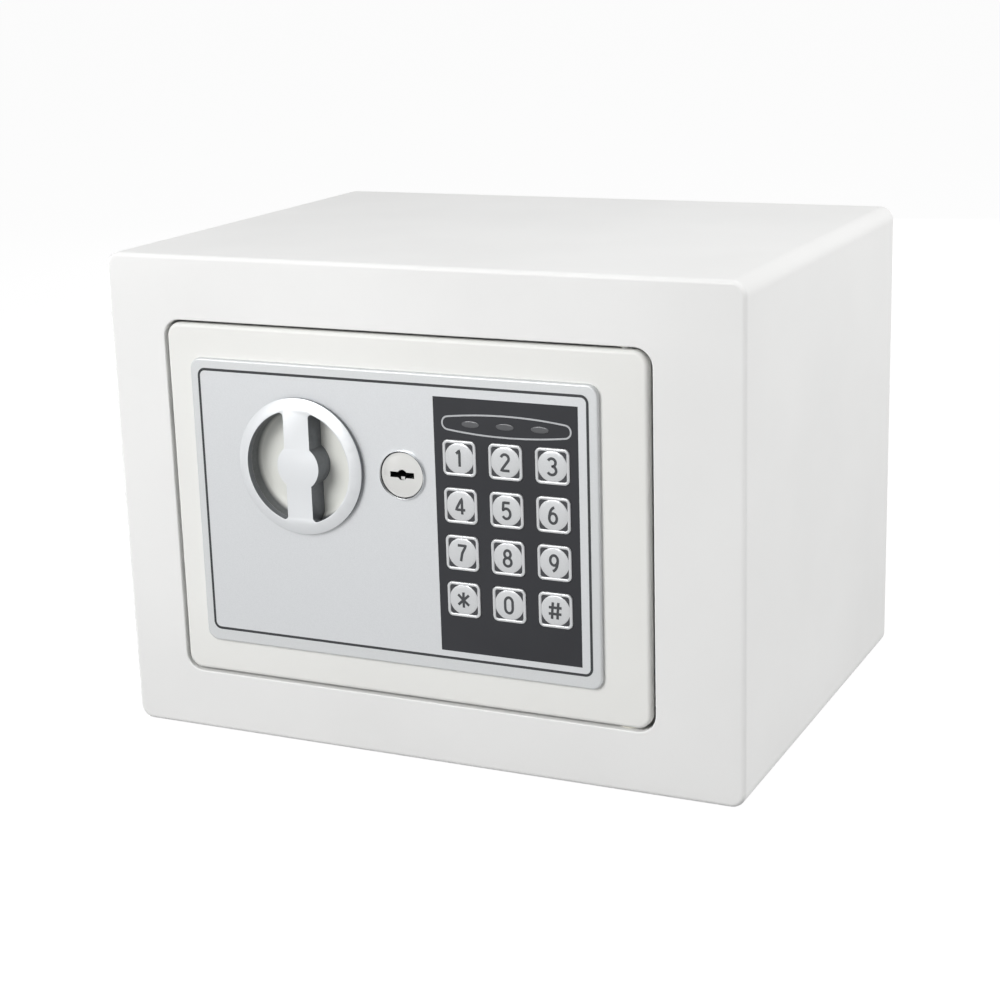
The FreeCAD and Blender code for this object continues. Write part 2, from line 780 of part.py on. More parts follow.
def make_knob():
    keep_part("knob_dial", make_knob_dial())
    keep_part("knob_cup", make_knob_cup())
    keep_part("knob_spindle", make_spindle())
    keep_part("knob_crank", make_crank())
    keep_part("crank_screw", screw(knob_x, knob_z, crank_back, crank_back - 5))
    keep_part("knob_bridge", make_bridge())


# ---------------------------------------------------------------- bolt work
def guide_spots():
    left = upright_left + carrier_thickness + rivet_length + guide_post_radius + 0.8
    low, high = bolt_z
    return [(left, low + 7), (left, high - 3), (knob_x + 20.2, knob_z - 18.9)]


def make_carrier():
    low, high = bolt_z[0] - carrier_end_margin, bolt_z[1] + carrier_end_margin
    strip = block(upright_left, upright_left + carrier_strip, carrier_depth, carrier_back, low, high)
    upright = block(upright_left, upright_left + carrier_thickness, bolt_depth - bolt_radius + 0.5,
                    carrier_back, low, high)
    pin_x, pin_z = crank_pin_spot()
    head_top = knob_z + crank_radius + 8
    head = block(upright_left, pin_x + 7, carrier_depth, carrier_back, arm_bottom, head_top)
    arm = block(upright_left, lock_x + arm_end, carrier_depth, carrier_back, arm_bottom, arm_top)
    carrier = strip.fuse([upright, head, arm]).removeSplitter()
    slots = [slot_x(x, x + bolt_travel, z, guide_pin_radius + guide_clearance, carrier_depth - 1,
                    carrier_back + 1) for x, z in guide_spots()]
    slot_radius = crank_pin_radius + crank_slack
    slots.append(slot_z(pin_x, pin_z - 0.3, knob_z + crank_radius + 0.3, slot_radius,
                        carrier_depth - 1, carrier_back + 1))
    half = plunger_radius + notch_clearance
    top = plunger_tip + plunger_travel + notch_extra_depth
    slots += [block(x - half, x + half, carrier_depth - 1, carrier_back + 1, arm_bottom - 1, top)
              for x in (lock_x, lock_x + bolt_travel)]
    slots.append(block(upright_left + carrier_strip, pin_x + 8, carrier_depth - 1, carrier_back + 1,
                       head_top, max(high, head_top) + 1))
    slots += [rod_x(upright_left - 1, upright_left + carrier_thickness + 1, bolt_depth, z,
                    tail_radius + fixed_clearance) for z in bolt_z]
    return carrier.cut(slots)


def make_bolt(z):
    """Round bolt with a turned-down tail that is riveted through the carrier's upright."""
    end = door_left + bolt_end_inset
    bolt = rod_x(end, upright_left, bolt_depth, z, bolt_radius)
    nose = [e for e in bolt.Edges if abs(e.BoundBox.XMax - end) < 1e-3]
    bolt = bolt.makeChamfer(bolt_chamfer, nose)
    tail = rod_x(upright_left, upright_left + carrier_thickness, bolt_depth, z, tail_radius)
    inside = upright_left + carrier_thickness
    rivet = rod_x(inside, inside + rivet_length, bolt_depth, z, tail_radius)
    return bolt.fuse([tail, rivet]).removeSplitter()


def make_guide(x, z):
    post = rod_y(x, z, guide_post_radius, door_thickness, carrier_depth - guide_face_gap)
    pin = rod_y(x, z, guide_pin_radius, carrier_depth - guide_face_gap, carrier_back + guide_face_gap)
    head = rod_y(x, z, guide_post_radius, carrier_back + guide_face_gap,
                 carrier_back + guide_face_gap + guide_head)
    return post.fuse([pin, head]).removeSplitter()


def make_bolt_work():
    keep_part("bolt_carrier", make_carrier())
    keep_part("locking_bolts", *[make_bolt(z) for z in bolt_z])
    keep_part("carrier_guides", *[make_guide(x, z) for x, z in guide_spots()])


# ---------------------------------------------------------------- override lock
def make_lock_body():
    face = panel_face - flange_height
    flange = rod_y(lock_x, lock_z, flange_radius, face, panel_face)
    flange = flange.makeChamfer(flange_chamfer, edges_at_depth(flange, face))
    barrel = rod_y(lock_x, lock_z, barrel_radius, panel_face, barrel_end_depth)
    body = flange.fuse(barrel).removeSplitter()
    seat_back = face + plug_face_thickness + plug_clearance
    seat = rod_y(lock_x, lock_z, plug_face_radius + plug_clearance, face - 1, seat_back)
    bore = rod_y(lock_x, lock_z, plug_radius + plug_clearance, face, barrel_end_depth + 1)
    return body.cut([seat, bore])


def make_lock_plug():
    face = panel_face - flange_height
    disc = rod_y(lock_x, lock_z, plug_face_radius, face, face + plug_face_thickness)
    disc = disc.makeFillet(0.2, edges_at_depth(disc, face))
    core = rod_y(lock_x, lock_z, plug_radius, face + plug_face_thickness, barrel_end_depth)
    tail = rod_y(lock_x, lock_z, plug_tail_radius, barrel_end_depth, cam_back)
    plug = disc.fuse([core, tail]).removeSplitter()
    half = keyway_width / 2
    way = block(lock_x - half, lock_x + half, face - 1, face + keyway_depth, lock_z - keyway_height / 2,
                lock_z + keyway_height / 2)
    way = way.fuse(rod_y(lock_x, lock_z, keyway_round, face - 1, face + keyway_depth)).removeSplitter()
    ward = block(lock_x - 0.7, lock_x + 0.7, face + 0.6, face + keyway_depth, lock_z - keyway_round,
                 lock_z - keyway_height / 2 + 0.3)
    hole = rod_y(lock_x, lock_z, screw_radius, cam_back - 5, cam_back + 1)
    return plug.cut([way.cut(ward), hole])


def make_cam():
    """Flat cam that points away from the hinge with the key home and down over the plunger when turned."""
    half = cam_width / 2
    blade = block(lock_x - cam_length + half, lock_x, cam_front, cam_back, lock_z - half, lock_z + half)
    tip = rod_y(lock_x - cam_length + half, lock_z, half, cam_front, cam_back)
    heel = rod_y(lock_x, lock_z, half + 1.5, cam_front, cam_back)
    cam = blade.fuse([tip, heel]).removeSplitter()
    return cam.cut(rod_y(lock_x, lock_z, plug_tail_radius, cam_front - 1, cam_back + 1))


def make_lock():
    nut = hexagon(lock_x, lock_z, nut_across_flats, door_thickness, door_thickness + nut_thickness)
    keep_part("lock_body", make_lock_body())
    keep_part("lock_nut", nut.cut(rod_y(lock_x, lock_z, barrel_radius + fixed_clearance, 0, 20)))
    keep_part("lock_plug", make_lock_plug())
    keep_part("lock_cam", make_cam())
    keep_part("cam_screw", screw(lock_x, lock_z, cam_back, cam_back - 4))


# ---------------------------------------------------------------- solenoid
def make_yoke():
    """U-shaped frame round the coil, with a two-screw ear on the knob's side."""
    half = yoke_width / 2
    web = block(lock_x - half - ear_length, lock_x + half, door_thickness, door_thickness + yoke_plate,
                yoke_bottom, yoke_top)
    ends = [block(lock_x - half, lock_x + half, door_thickness, yoke_back, z, z + yoke_plate)
            for z in (yoke_bottom, yoke_top - yoke_plate)]
    yoke = web.fuse(ends).removeSplitter()
    bore = rod_z(lock_x, plunger_depth, yoke_top - yoke_plate - 1, yoke_top + 1,
                 plunger_radius + bore_clearance)
    holes = [rod_y(x, z, screw_radius, door_thickness - 1, door_thickness + yoke_plate + 1)
             for x, z in yoke_screw_spots()]
    return yoke.cut([bore] + holes)


def make_coil():
    low, high = yoke_bottom + yoke_plate, yoke_top - yoke_plate
    bobbin = rod_z(lock_x, plunger_depth, low, high, coil_radius)
    waist = rod_z(lock_x, plunger_depth, low + coil_cheek, high - coil_cheek, coil_radius + 1)
    waist = waist.cut(rod_z(lock_x, plunger_depth, low, high, coil_radius - coil_waist))
    bobbin = bobbin.cut(waist)
    behind = block(lock_x - coil_radius, lock_x + coil_radius, door_thickness, door_thickness + yoke_plate,
                   low, high)
    bore = rod_z(lock_x, plunger_depth, low - 1, high + 1, plunger_radius + bore_clearance)
    return bobbin.cut([bore, behind])


def make_plunger():
    bottom = plunger_tip - plunger_length
    stem = rod_z(lock_x, plunger_depth, bottom, plunger_tip, plunger_radius)
    stem = stem.makeChamfer(0.5, [e for e in stem.Edges if abs(e.BoundBox.ZMin - plunger_tip) < 1e-3])
    collar = rod_z(lock_x, plunger_depth, collar_bottom, collar_bottom + collar_thickness, collar_radius)
    pin = rod_y(lock_x, plunger_tip - plunger_pin_drop, plunger_pin_radius, plunger_depth,
                plunger_pin_end_depth)
    return stem.fuse([collar, pin]).removeSplitter()


def make_plunger_spring():
    """Compression spring, drawn as a close stack of open rings that a thin web ties together."""
    rings = []
    pitch = (spring_length - 2 * spring_wire) / spring_turns
    for i in range(spring_turns + 1):
        z = yoke_top + spring_wire + i * pitch
        ring = Part.makeTorus(spring_radius, spring_wire, Vector(lock_x, at(plunger_depth), z), ALONG_Z)
        rings.append(ring)
    tie = rod_z(lock_x + spring_radius, plunger_depth, yoke_top + spring_wire,
                yoke_top + spring_length - spring_wire, spring_wire * 0.6)
    return tie.fuse(rings)


def make_solenoid():
    keep_part("solenoid_yoke", make_yoke())
    keep_part("solenoid_coil", make_coil())
    keep_part("solenoid_plunger", make_plunger())
    keep_part("plunger_spring", make_plunger_spring())
    keep_part("solenoid_screws", *[screw(x, z, door_thickness + yoke_plate, door_thickness - screw_into_plate)
                                   for x, z in yoke_screw_spots()])


# ---------------------------------------------------------------- electronics
def make_board():
    board = block(board_left, board_right, board_depth, board_back, board_bottom, board_top)
    return board.cut([rod_y(x, z, screw_radius, board_depth - 1, board_back + 1)
                      for x, z in board_screw_spots()])


def make_tact_switch(x, z):
    half = switch_size / 2
    body = block(x - half, x + half, board_depth - switch_height, board_depth, z - half, z + half)
    button = rod_y(x, z, switch_button_radius, board_depth - switch_height - switch_button,
                   board_depth - switch_height)
    return body.fuse(button).removeSplitter()


def make_board_components():
    """Controller, connectors, capacitor, buzzer and the reset switch on the board's back."""
    def chip(left, bottom, wide, tall, high):
        return block(board_left + left, board_left + left + wide, board_back, board_back + high,
                     board_bottom + bottom, board_bottom + bottom + tall)

    def can(left, drop, radius, high):
        return rod_y(board_left + left, board_top - drop, radius, board_back, board_back + high)

    middle = (board_right - board_left) / 2
    controller = chip(middle - 6, 34, 12, 12, 1.6)
    memory = chip(middle - 14, 36, 4, 5, 1.5)
    sockets = [chip(3, 10, 10, 6, 4), chip(17, 10, 10, 6, 4)]
    capacitor = can(8, 28, 2.5, 6)
    buzzer = can(12, 14, 6, 5)
    half = switch_size / 2
    reset = block(reset_x - half, reset_x + half, board_back, board_back + switch_height,
                  reset_z - half, reset_z + half)
    return [controller, memory] + sockets + [capacitor, buzzer, reset]


def make_led(x):
    body = rod_y(x, lens_z, led_radius, board_depth - led_height, board_depth)
    return body.makeFillet(1.2, edges_at_depth(body, board_depth - led_height))


def make_spacer(x, z):
    tube = rod_y(x, z, spacer_radius, door_thickness, board_depth)
    return tube.cut(rod_y(x, z, screw_radius, door_thickness - 1, board_depth + 1))


def make_reset_button():
    """Long red button that reaches from the door's back cover to the reset switch."""
    switch_back = board_back + switch_height
    stem_front = switch_back + reset_travel + switch_gap
    stem = rod_y(reset_x, reset_z, reset_radius, stem_front, cover_back + reset_proud)
    stem = stem.makeFillet(reset_round, edges_at_depth(stem, cover_back + reset_proud))
    collar_back = pan_back - reset_collar_gap
    collar = rod_y(reset_x, reset_z, reset_radius + reset_collar, collar_back - reset_collar, collar_back)
    return stem.fuse(collar).removeSplitter()


def make_electronics():
    spots = board_screw_spots()
    keep_part("circuit_board", make_board())
    keep_part("key_switches", *[make_tact_switch(x, z) for x, z in key_spots().values()])
    keep_part("board_components", *make_board_components())
    keep_part("status_leds", *[make_led(x) for x in lens_spots()])
    keep_part("board_spacers", *[make_spacer(x, z) for x, z in spots])
    keep_part("board_screws", *[screw(x, z, board_back, door_thickness - screw_into_plate) for x, z in spots])
    keep_part("reset_button", make_reset_button())


# ---------------------------------------------------------------- battery compartment
def cell_spots():
    first = tray_left + tray_wall + cell_gap + cell_radius
    return [first + i * (2 * cell_radius + cell_gap) for i in range(cell_count)]


def cell_depth():
    return tray_floor + tray_wall + cell_radius + 0.1


def make_cell(x, upright):
    middle = (tray_bottom + tray_top) / 2
    low = middle - (cell_length + cell_nub) / 2
    body_low = low if upright else low + cell_nub
    body = rod_z(x, cell_depth(), body_low, body_low + cell_length, cell_radius)
    body = body.makeFillet(0.8, [e for e in body.Edges if e.BoundBox.ZLength < 1e-3])
    nub_low = body_low + cell_length if upright else low
    return body.fuse(rod_z(x, cell_depth(), nub_low, nub_low + cell_nub, cell_nub_radius)).removeSplitter()


def make_contact(x, end, inwards):
    """Plate on the tray's end wall with a raised pip that the cell bears on."""
    low, high = sorted((end, end + inwards * contact_thickness))
    plate = block(x - 4.5, x + 4.5, cell_depth() - 4, cell_depth() + 4, low, high)
    pip_low, pip_high = sorted((end + inwards * contact_thickness, end + inwards * (contact_room - 0.02)))
    return plate.fuse(rod_z(x, cell_depth(), pip_low, pip_high, 2.0)).removeSplitter()


def make_tray():
    outer = block(tray_left, tray_right, tray_floor, cover_back, tray_bottom, tray_top)
    reach = tray_flange
    flange = block(tray_left - reach, tray_right + reach, cover_back, flange_back, tray_bottom - reach,
                   tray_top + reach)
    rails = []
    for edge, inwards in ((tray_bottom - reach, 1), (tray_top + reach, -1)):
        low, high = sorted((edge, edge + inwards * rail_width))
        rails.append(block(tray_left - reach, tray_right + reach, flange_back, rail_back, low, high))
        low, high = sorted((edge, edge + inwards * (rail_width + rail_lip)))
        rails.append(block(tray_left - reach, tray_right + reach, rail_back - rail_lip_thickness, rail_back,
                           low, high))
    stop = block(tray_right + reach - rail_stop, tray_right + reach, flange_back, rail_back,
                 tray_bottom - reach, tray_top + reach)
    tray = outer.fuse([flange, stop] + rails).removeSplitter()
    room = block(tray_left + tray_wall, tray_right - tray_wall, tray_floor + tray_wall,
                 flange_back + 1, tray_bottom + tray_wall, tray_top - tray_wall)
    return tray.cut(room)


def make_lid():
    clear = rail_width + lid_gap
    low, high = tray_bottom - tray_flange + clear, tray_top + tray_flange - clear
    right = tray_right + tray_flange - rail_stop - lid_gap
    left = tray_left - tray_flange + lid_overlap_left
    lid_back = lid_front + lid_thickness
    lid = block(left, right, lid_front, lid_back, low, high)
    middle = (low + high) / 2
    half = grip_length / 2
    grips = [block(x, x + grip_width, lid_back, lid_back + grip_height, middle - half, middle + half)
             for x in (left + grip_inset + i * grip_pitch for i in range(grip_count))]
    return lid.fuse(grips).removeSplitter()


def make_battery_compartment():
    keep_part("battery_tray", make_tray())
    spots = cell_spots()
    keep_part("batteries", *[make_cell(x, i % 2 == 0) for i, x in enumerate(spots)])
    bottom_wall, top_wall = tray_bottom + tray_wall, tray_top - tray_wall
    contacts = [make_contact(x, wall, into_bay) for wall, into_bay in ((bottom_wall, 1), (top_wall, -1))
                for x in spots]
    keep_part("battery_contacts", *contacts)
    keep_part("battery_lid", make_lid())


# ---------------------------------------------------------------- build
def export_parts():
    os.makedirs("parts", exist_ok=True)
    for name, shape in sorted(parts.items()):
        bad = [s for s in shape.Solids if not s.isValid() or not s.isClosed() or s.Volume <= 0]
        verdict = ", NOT VALID" if bad else ""
        print(f"{name}: {len(shape.Solids)} solids, {shape.Volume / 1000:.2f} cm3{verdict}")
        shape.exportStep(f"parts/{name}.step")


make_cabinet()
make_door_shell()
make_keypad()
make_knob()
make_bolt_work()
make_lock()
make_solenoid()
make_electronics()
make_battery_compartment()
export_parts()
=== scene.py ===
# %% [markdown]
# # A small electronic room safe, finished in Blender
# The steel cabinet, the door, its lock work and every moving piece come as a fixed frame of named
# nodes. This lesson gives each of them its surface, and adds the pieces that a drawing leaves out:
# the printed panel, the key caps with their figures, the springs, windings and carpet pile.
# Everything is in metres: X to the right, Y to the back wall, Z up.

# %% Load the frame
import json
import math
import bmesh
import bpy
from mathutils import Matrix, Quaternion, Vector
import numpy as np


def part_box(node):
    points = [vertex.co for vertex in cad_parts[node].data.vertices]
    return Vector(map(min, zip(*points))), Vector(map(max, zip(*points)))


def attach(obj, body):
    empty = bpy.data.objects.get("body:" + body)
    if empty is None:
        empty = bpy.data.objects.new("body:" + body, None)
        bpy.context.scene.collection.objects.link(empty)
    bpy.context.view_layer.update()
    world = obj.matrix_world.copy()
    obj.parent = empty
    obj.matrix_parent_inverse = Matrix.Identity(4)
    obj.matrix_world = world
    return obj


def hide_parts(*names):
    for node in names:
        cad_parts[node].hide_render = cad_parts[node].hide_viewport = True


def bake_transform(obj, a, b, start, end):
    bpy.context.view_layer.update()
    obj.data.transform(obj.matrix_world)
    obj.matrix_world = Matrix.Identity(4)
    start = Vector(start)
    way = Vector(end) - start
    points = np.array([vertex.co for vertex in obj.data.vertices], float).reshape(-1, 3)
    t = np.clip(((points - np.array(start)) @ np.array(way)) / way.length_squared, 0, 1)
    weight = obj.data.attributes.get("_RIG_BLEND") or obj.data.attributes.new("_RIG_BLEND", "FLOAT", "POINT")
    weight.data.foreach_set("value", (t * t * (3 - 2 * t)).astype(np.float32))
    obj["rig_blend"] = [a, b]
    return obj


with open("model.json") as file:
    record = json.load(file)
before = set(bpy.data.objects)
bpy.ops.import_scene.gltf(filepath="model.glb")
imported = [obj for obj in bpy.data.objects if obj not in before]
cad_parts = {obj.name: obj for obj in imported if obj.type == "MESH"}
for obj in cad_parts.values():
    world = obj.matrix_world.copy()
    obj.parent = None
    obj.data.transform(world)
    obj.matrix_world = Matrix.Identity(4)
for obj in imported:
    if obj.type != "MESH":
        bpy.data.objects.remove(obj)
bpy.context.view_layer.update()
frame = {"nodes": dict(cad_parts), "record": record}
scene = bpy.context.scene
MM = 0.001
WELD = 0.002 * MM

# %% [markdown]
# ## The camera
# A product view from the right and a little above, through a long lens so that the box keeps its
# square look. The camera is made first, because every later choice is judged through it.

# %% Camera
VIEW_TURN = math.radians(25.37)
VIEW_RISE = math.radians(15.38)
VIEW_ROLL = math.radians(-1.69)
SENSOR = 36.0
LENS_MM = 74.93
CAMERA_PLACE = (0.3095, -0.6704, 0.27325)

camera_data = bpy.data.cameras.new("camera")
camera_data.sensor_width = SENSOR
camera_data.lens = LENS_MM
camera = bpy.data.objects.new("camera", camera_data)
scene.collection.objects.link(camera)
towards_camera = Vector((
    math.sin(VIEW_TURN) * math.cos(VIEW_RISE),
    -math.cos(VIEW_TURN) * math.cos(VIEW_RISE),
    math.sin(VIEW_RISE)))
camera.rotation_mode = "QUATERNION"
camera.rotation_quaternion = towards_camera.to_track_quat("Z", "Y") @ Quaternion((0, 0, 1), VIEW_ROLL)
camera.location = CAMERA_PLACE
scene.camera = camera
scene.view_settings.view_transform = "Standard"
print("camera", camera.location[:])

# %% [markdown]
# ## Helpers for node trees
# A Geometry Nodes tree and a material are built the same way: put a node down, give its sockets
# values or links. One function does both. A value that is a node stands for its first output.

# %% Put down a node
def place(tree, kind, inputs=None, **settings):
    """A new node; inputs are values, sockets or nodes, by the socket's name or number."""
    node = tree.nodes.new(kind)
    for key, value in settings.items():
        setattr(node, key, value)
    for key, value in (inputs or {}).items():
        socket = node.inputs[key]
        if isinstance(value, bpy.types.Node):
            tree.links.new(value.outputs[0], socket)
        elif isinstance(value, bpy.types.NodeSocket):
            tree.links.new(value, socket)
        else:
            socket.default_value = value
    return node


def number(tree, operation, a, b, **settings):
    """One step of arithmetic on two numbers."""
    return place(tree, "ShaderNodeMath", {0: a, 1: b}, operation=operation, **settings)


def vector(tree, **parts):
    """A vector from its X, Y and Z; a part that is left out is 0."""
    return place(tree, "ShaderNodeCombineXYZ", parts)


def transform(tree, geometry, **how):
    """Geometry moved, turned or scaled: how is Translation, Rotation or Scale."""
    return place(tree, "GeometryNodeTransform", {"Geometry": geometry, **how})


# %% [markdown]
# ## Helpers for Geometry Nodes
# Each recipe is a tree with named inputs. `recipe` makes the tree and its inputs, `serve` ends it
# with Realize Instances and Set Material, and `cook` runs it once on a carrier mesh and keeps the
# plain result. The inputs are set by identifier before the object is first evaluated.

# %% Recipes in Geometry Nodes
SOCKET_KINDS = {int: "NodeSocketInt", float: "NodeSocketFloat", tuple: "NodeSocketVector"}


def recipe(name, **inputs):
    """A tree with a Geometry input and one named input for each keyword, and its input node."""
    tree = bpy.data.node_groups.new(name, "GeometryNodeTree")
    tree.is_modifier = True
    tree.interface.new_socket("Geometry", in_out="INPUT", socket_type="NodeSocketGeometry")
    for label, value in inputs.items():
        kind = SOCKET_KINDS[type(value)]
        socket = tree.interface.new_socket(label, in_out="INPUT", socket_type=kind)
        socket.default_value = value
    tree.interface.new_socket("Finish", in_out="INPUT", socket_type="NodeSocketMaterial")
    tree.interface.new_socket("Geometry", in_out="OUTPUT", socket_type="NodeSocketGeometry")
    return tree, place(tree, "NodeGroupInput").outputs


def serve(tree, given, geometry):
    """Ends a recipe: instances become real, and everything takes the finish."""
    real = place(tree, "GeometryNodeRealizeInstances", {"Geometry": geometry})
    painted = place(tree, "GeometryNodeSetMaterial", {"Geometry": real, "Material": given["Finish"]})
    place(tree, "NodeGroupOutput", {"Geometry": painted})
    return tree


def cook(tree, name, finish, start=None, smooth=35, **values):
    """Runs a recipe and returns a plain mesh object; start is the mesh that it works on."""
    carrier = bpy.data.objects.new(name + "_carrier", start or bpy.data.meshes.new(name))
    scene.collection.objects.link(carrier)
    modifier = carrier.modifiers.new("recipe", "NODES")
    modifier.node_group = tree
    values["Finish"] = finish
    for item in tree.interface.items_tree:
        if item.in_out == "INPUT" and item.name in values:
            modifier[item.identifier] = values[item.name]
    evaluated = carrier.evaluated_get(bpy.context.evaluated_depsgraph_get())
    mesh = bpy.data.meshes.new_from_object(evaluated)
    carrier.modifiers.remove(modifier)
    bpy.data.objects.remove(carrier)
    return solid_object(name, mesh, finish, smooth)


def solid_object(name, mesh, finish, smooth=35):
    """Links a mesh as a piece with one finish, smooth where faces meet at less than that angle."""
    mesh.materials.clear()
    mesh.materials.append(finish)
    mesh.name = name
    piece = bpy.data.objects.new(name, mesh)
    scene.collection.objects.link(piece)
    for face in mesh.polygons:
        face.use_smooth = True
    mesh.set_sharp_from_angle(angle=math.radians(smooth))
    return piece


def report(piece):
    """Prints what a piece measures, in millimetres."""
    corners = [Vector(corner) for corner in piece.bound_box]
    size = [(max(c[i] for c in corners) - min(c[i] for c in corners)) / MM for i in range(3)]
    print(f"{piece.name}: {len(piece.data.polygons)} faces, "
          f"{size[0]:.2f} x {size[1]:.2f} x {size[2]:.2f} mm")


def fit(piece, body, slot, *nodes):
    """The piece rides on a body and stands for CAD nodes, if any, which it hides; the slot is not used."""
    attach(piece, body)
    if nodes:
        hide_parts(*nodes)
    report(piece)
    return piece


# %% [markdown]
# ## Helpers for finishes
# Every finish starts as one Principled shader with its constants on its own sockets. Three small
# functions then add what a real surface has: a slow drift of colour, a change of gloss and a fine
# relief. `surface` makes the whole of it in one call. All patterns read Object coordinates, so they
# stay put on the piece.

# %% Start a finish
def linear(colour):
    """An 8-bit screen colour as the linear RGBA that a shader takes."""
    parts = [c / 255 for c in colour]
    return tuple(c / 12.92 if c <= 0.04045 else ((c + 0.055) / 1.055) ** 2.4 for c in parts) + (1.0,)


def finish(name, colour, roughness, metallic=0.0):
    """A material with one Principled shader; returns the material, its tree and the shader."""
    material = bpy.data.materials.new(name)
    material.use_nodes = True
    tree = material.node_tree
    tree.nodes.clear()
    shader = place(tree, "ShaderNodeBsdfPrincipled",
                   {"Base Color": linear(colour), "Roughness": roughness, "Metallic": metallic})
    place(tree, "ShaderNodeOutputMaterial", {"Surface": shader})
    material.diffuse_color = linear(colour)
    return material, tree, shader


def where(tree):
    """The place on the piece, in Object coordinates."""
    return place(tree, "ShaderNodeTexCoord").outputs["Object"]


def spots(tree, scale, detail=2.0, stretch=(1, 1, 1), kind="ShaderNodeTexNoise"):
    """A noise on Object coordinates; scale is in cells per metre."""
    mapped = place(tree, "ShaderNodeMapping", {"Vector": where(tree), "Scale": stretch})
    noise = place(tree, kind, {"Vector": mapped, "Scale": scale})
    if kind == "ShaderNodeTexNoise":
        noise.inputs["Detail"].default_value = detail
    return noise.outputs[0]


def tint(tree, shader, pattern, dark, light, low=0.3, high=0.7):
    """Lets a pattern move the colour between two close tones."""
    ramp = place(tree, "ShaderNodeValToRGB", {"Fac": pattern})
    ramp.color_ramp.elements[0].position = low
    ramp.color_ramp.elements[0].color = linear(dark)
    ramp.color_ramp.elements[1].position = high
    ramp.color_ramp.elements[1].color = linear(light)
    tree.links.new(ramp.outputs["Color"], shader.inputs["Base Color"])


def gloss(tree, shader, pattern, smooth, rough):
    """Lets a pattern move the roughness between two values."""
    span = place(tree, "ShaderNodeMapRange", {"Value": pattern, "To Min": smooth, "To Max": rough})
    tree.links.new(span.outputs["Result"], shader.inputs["Roughness"])


def relief(tree, shader, pattern, depth, strength=0.5):
    """Raises a pattern on the surface; depth is in millimetres."""
    bump = place(tree, "ShaderNodeBump", {"Height": pattern, "Strength": strength, "Distance": depth * MM})
    tree.links.new(bump.outputs["Normal"], shader.inputs["Normal"])


def surface(name, colour, roughness, metallic=0.0, tones=None, shine=None, grain=None, **sockets):
    """A finish whose colour, gloss and relief each follow a noise.

    Each of the three starts with what `spots` takes. Two colours follow it in tones, two values of
    roughness in shine, and a depth in millimetres and a strength in grain.
    """
    material, tree, shader = finish(name, colour, roughness, metallic)
    for step, given in ((tint, tones), (gloss, shine), (relief, grain)):
        if given:
            step(tree, shader, spots(tree, *given[0]), *given[1:])
    for label, value in sockets.items():
        shader.inputs[label.replace("_", " ")].default_value = value
    return material


# %% [markdown]
# ## Paint and panel finishes
# The cabinet is powder coated: a warm white with the faint orange peel that the powder leaves as it
# flows. The door has the same paint. The control panel is moulded and sprayed silver, so it gets a
# fine flake. The keypad overlay is a dark satin film with a very fine emboss.

# %% Paint
def powder_coat(name, dark, light):
    return surface(name, light, 0.42, 0.0, ((14, 3), dark, light), ((60, 2), 0.38, 0.5),
                   ((950, 1.5), 0.03, 0.35), Specular_IOR_Level=0.36, Coat_Weight=0.05,
                   Coat_Roughness=0.3)


def silver_spray(name, dark, light, roughness, metallic=0.35):
    flake = (5200, 1)
    return surface(name, light, roughness, metallic, (flake, dark, light, 0.25, 0.75),
                   ((240, 2), roughness - 0.04, roughness + 0.06), (flake, 0.01, 0.2))


def dark_film(name, dark, light):
    return surface(name, light, 0.42, 0.0, ((30, 3), dark, light), ((300, 2), 0.36, 0.48),
                   ((4200, 1), 0.012, 0.3), Specular_IOR_Level=0.3)


# %% [markdown]
# ## Metal finishes
# Zinc-plated pressings show a soft spangle, turned bolts show fine tool rings across their axis,
# and the lock is polished chrome round a satin face. Wire and contacts are plain drawn metal with
# faint lines along the wire.

# %% Metals
def zinc_plate(name):
    spangle = (160, 0, (1, 1, 1), "ShaderNodeTexVoronoi")
    return surface(name, (196, 199, 200), 0.34, 0.9,
                   (spangle, (182, 186, 189), (208, 210, 211), 0.0, 0.6),
                   ((110, 4), 0.26, 0.46), ((900, 2), 0.01, 0.25))


def turned_steel(name, across=(1, 0.02, 0.02)):
    rings = (5200, 1, across)
    return surface(name, (205, 206, 206), 0.22, 1.0, (rings, (188, 190, 191), (216, 217, 217)),
                   ((90, 3), 0.16, 0.32), (rings, 0.01, 0.4))


def polished(name, colour, roughness):
    return surface(name, colour, roughness, 1.0, None, ((380, 3), roughness * 0.7, roughness * 1.5),
                   ((700, 2), 0.004, 0.2))


def drawn_wire(name, dark, light, roughness=0.25):
    lines = (1500, 2)
    return surface(name, light, roughness, 1.0, (lines, dark, light),
                   (lines, roughness - 0.08, roughness + 0.12), (lines, 0.006, 0.3))


# %% [markdown]
# ## Plastic, board and carpet finishes
# Moulded plastic has the even sparkle of a spark-eroded tool. The circuit board's green mask shows
# its copper tracks as slightly lighter lines. The mat is a dense needle felt in dark grey.

# %% Plastics and soft finishes
def moulded(name, dark, light, roughness, texture=0.02):
    return surface(name, light, roughness, 0.0, ((80, 3), dark, light),
                   ((500, 2), roughness - 0.05, roughness + 0.08), ((2300, 2), texture, 0.4))


def solder_mask(name):
    material, tree, shader = finish(name, (24, 92, 58), 0.3)
    slanted = (0, math.radians(45), 0)
    turned = place(tree, "ShaderNodeMapping", {"Vector": where(tree), "Rotation": slanted})
    tracks = place(tree, "ShaderNodeTexWave", {
        "Vector": turned, "Scale": 190.0, "Distortion": 6.0, "Detail": 1.0, "Detail Scale": 0.4})
    tint(tree, shader, tracks.outputs["Fac"], (18, 74, 46), (38, 118, 74), 0.45, 0.55)
    relief(tree, shader, tracks.outputs["Fac"], 0.03, 0.4)
    return material


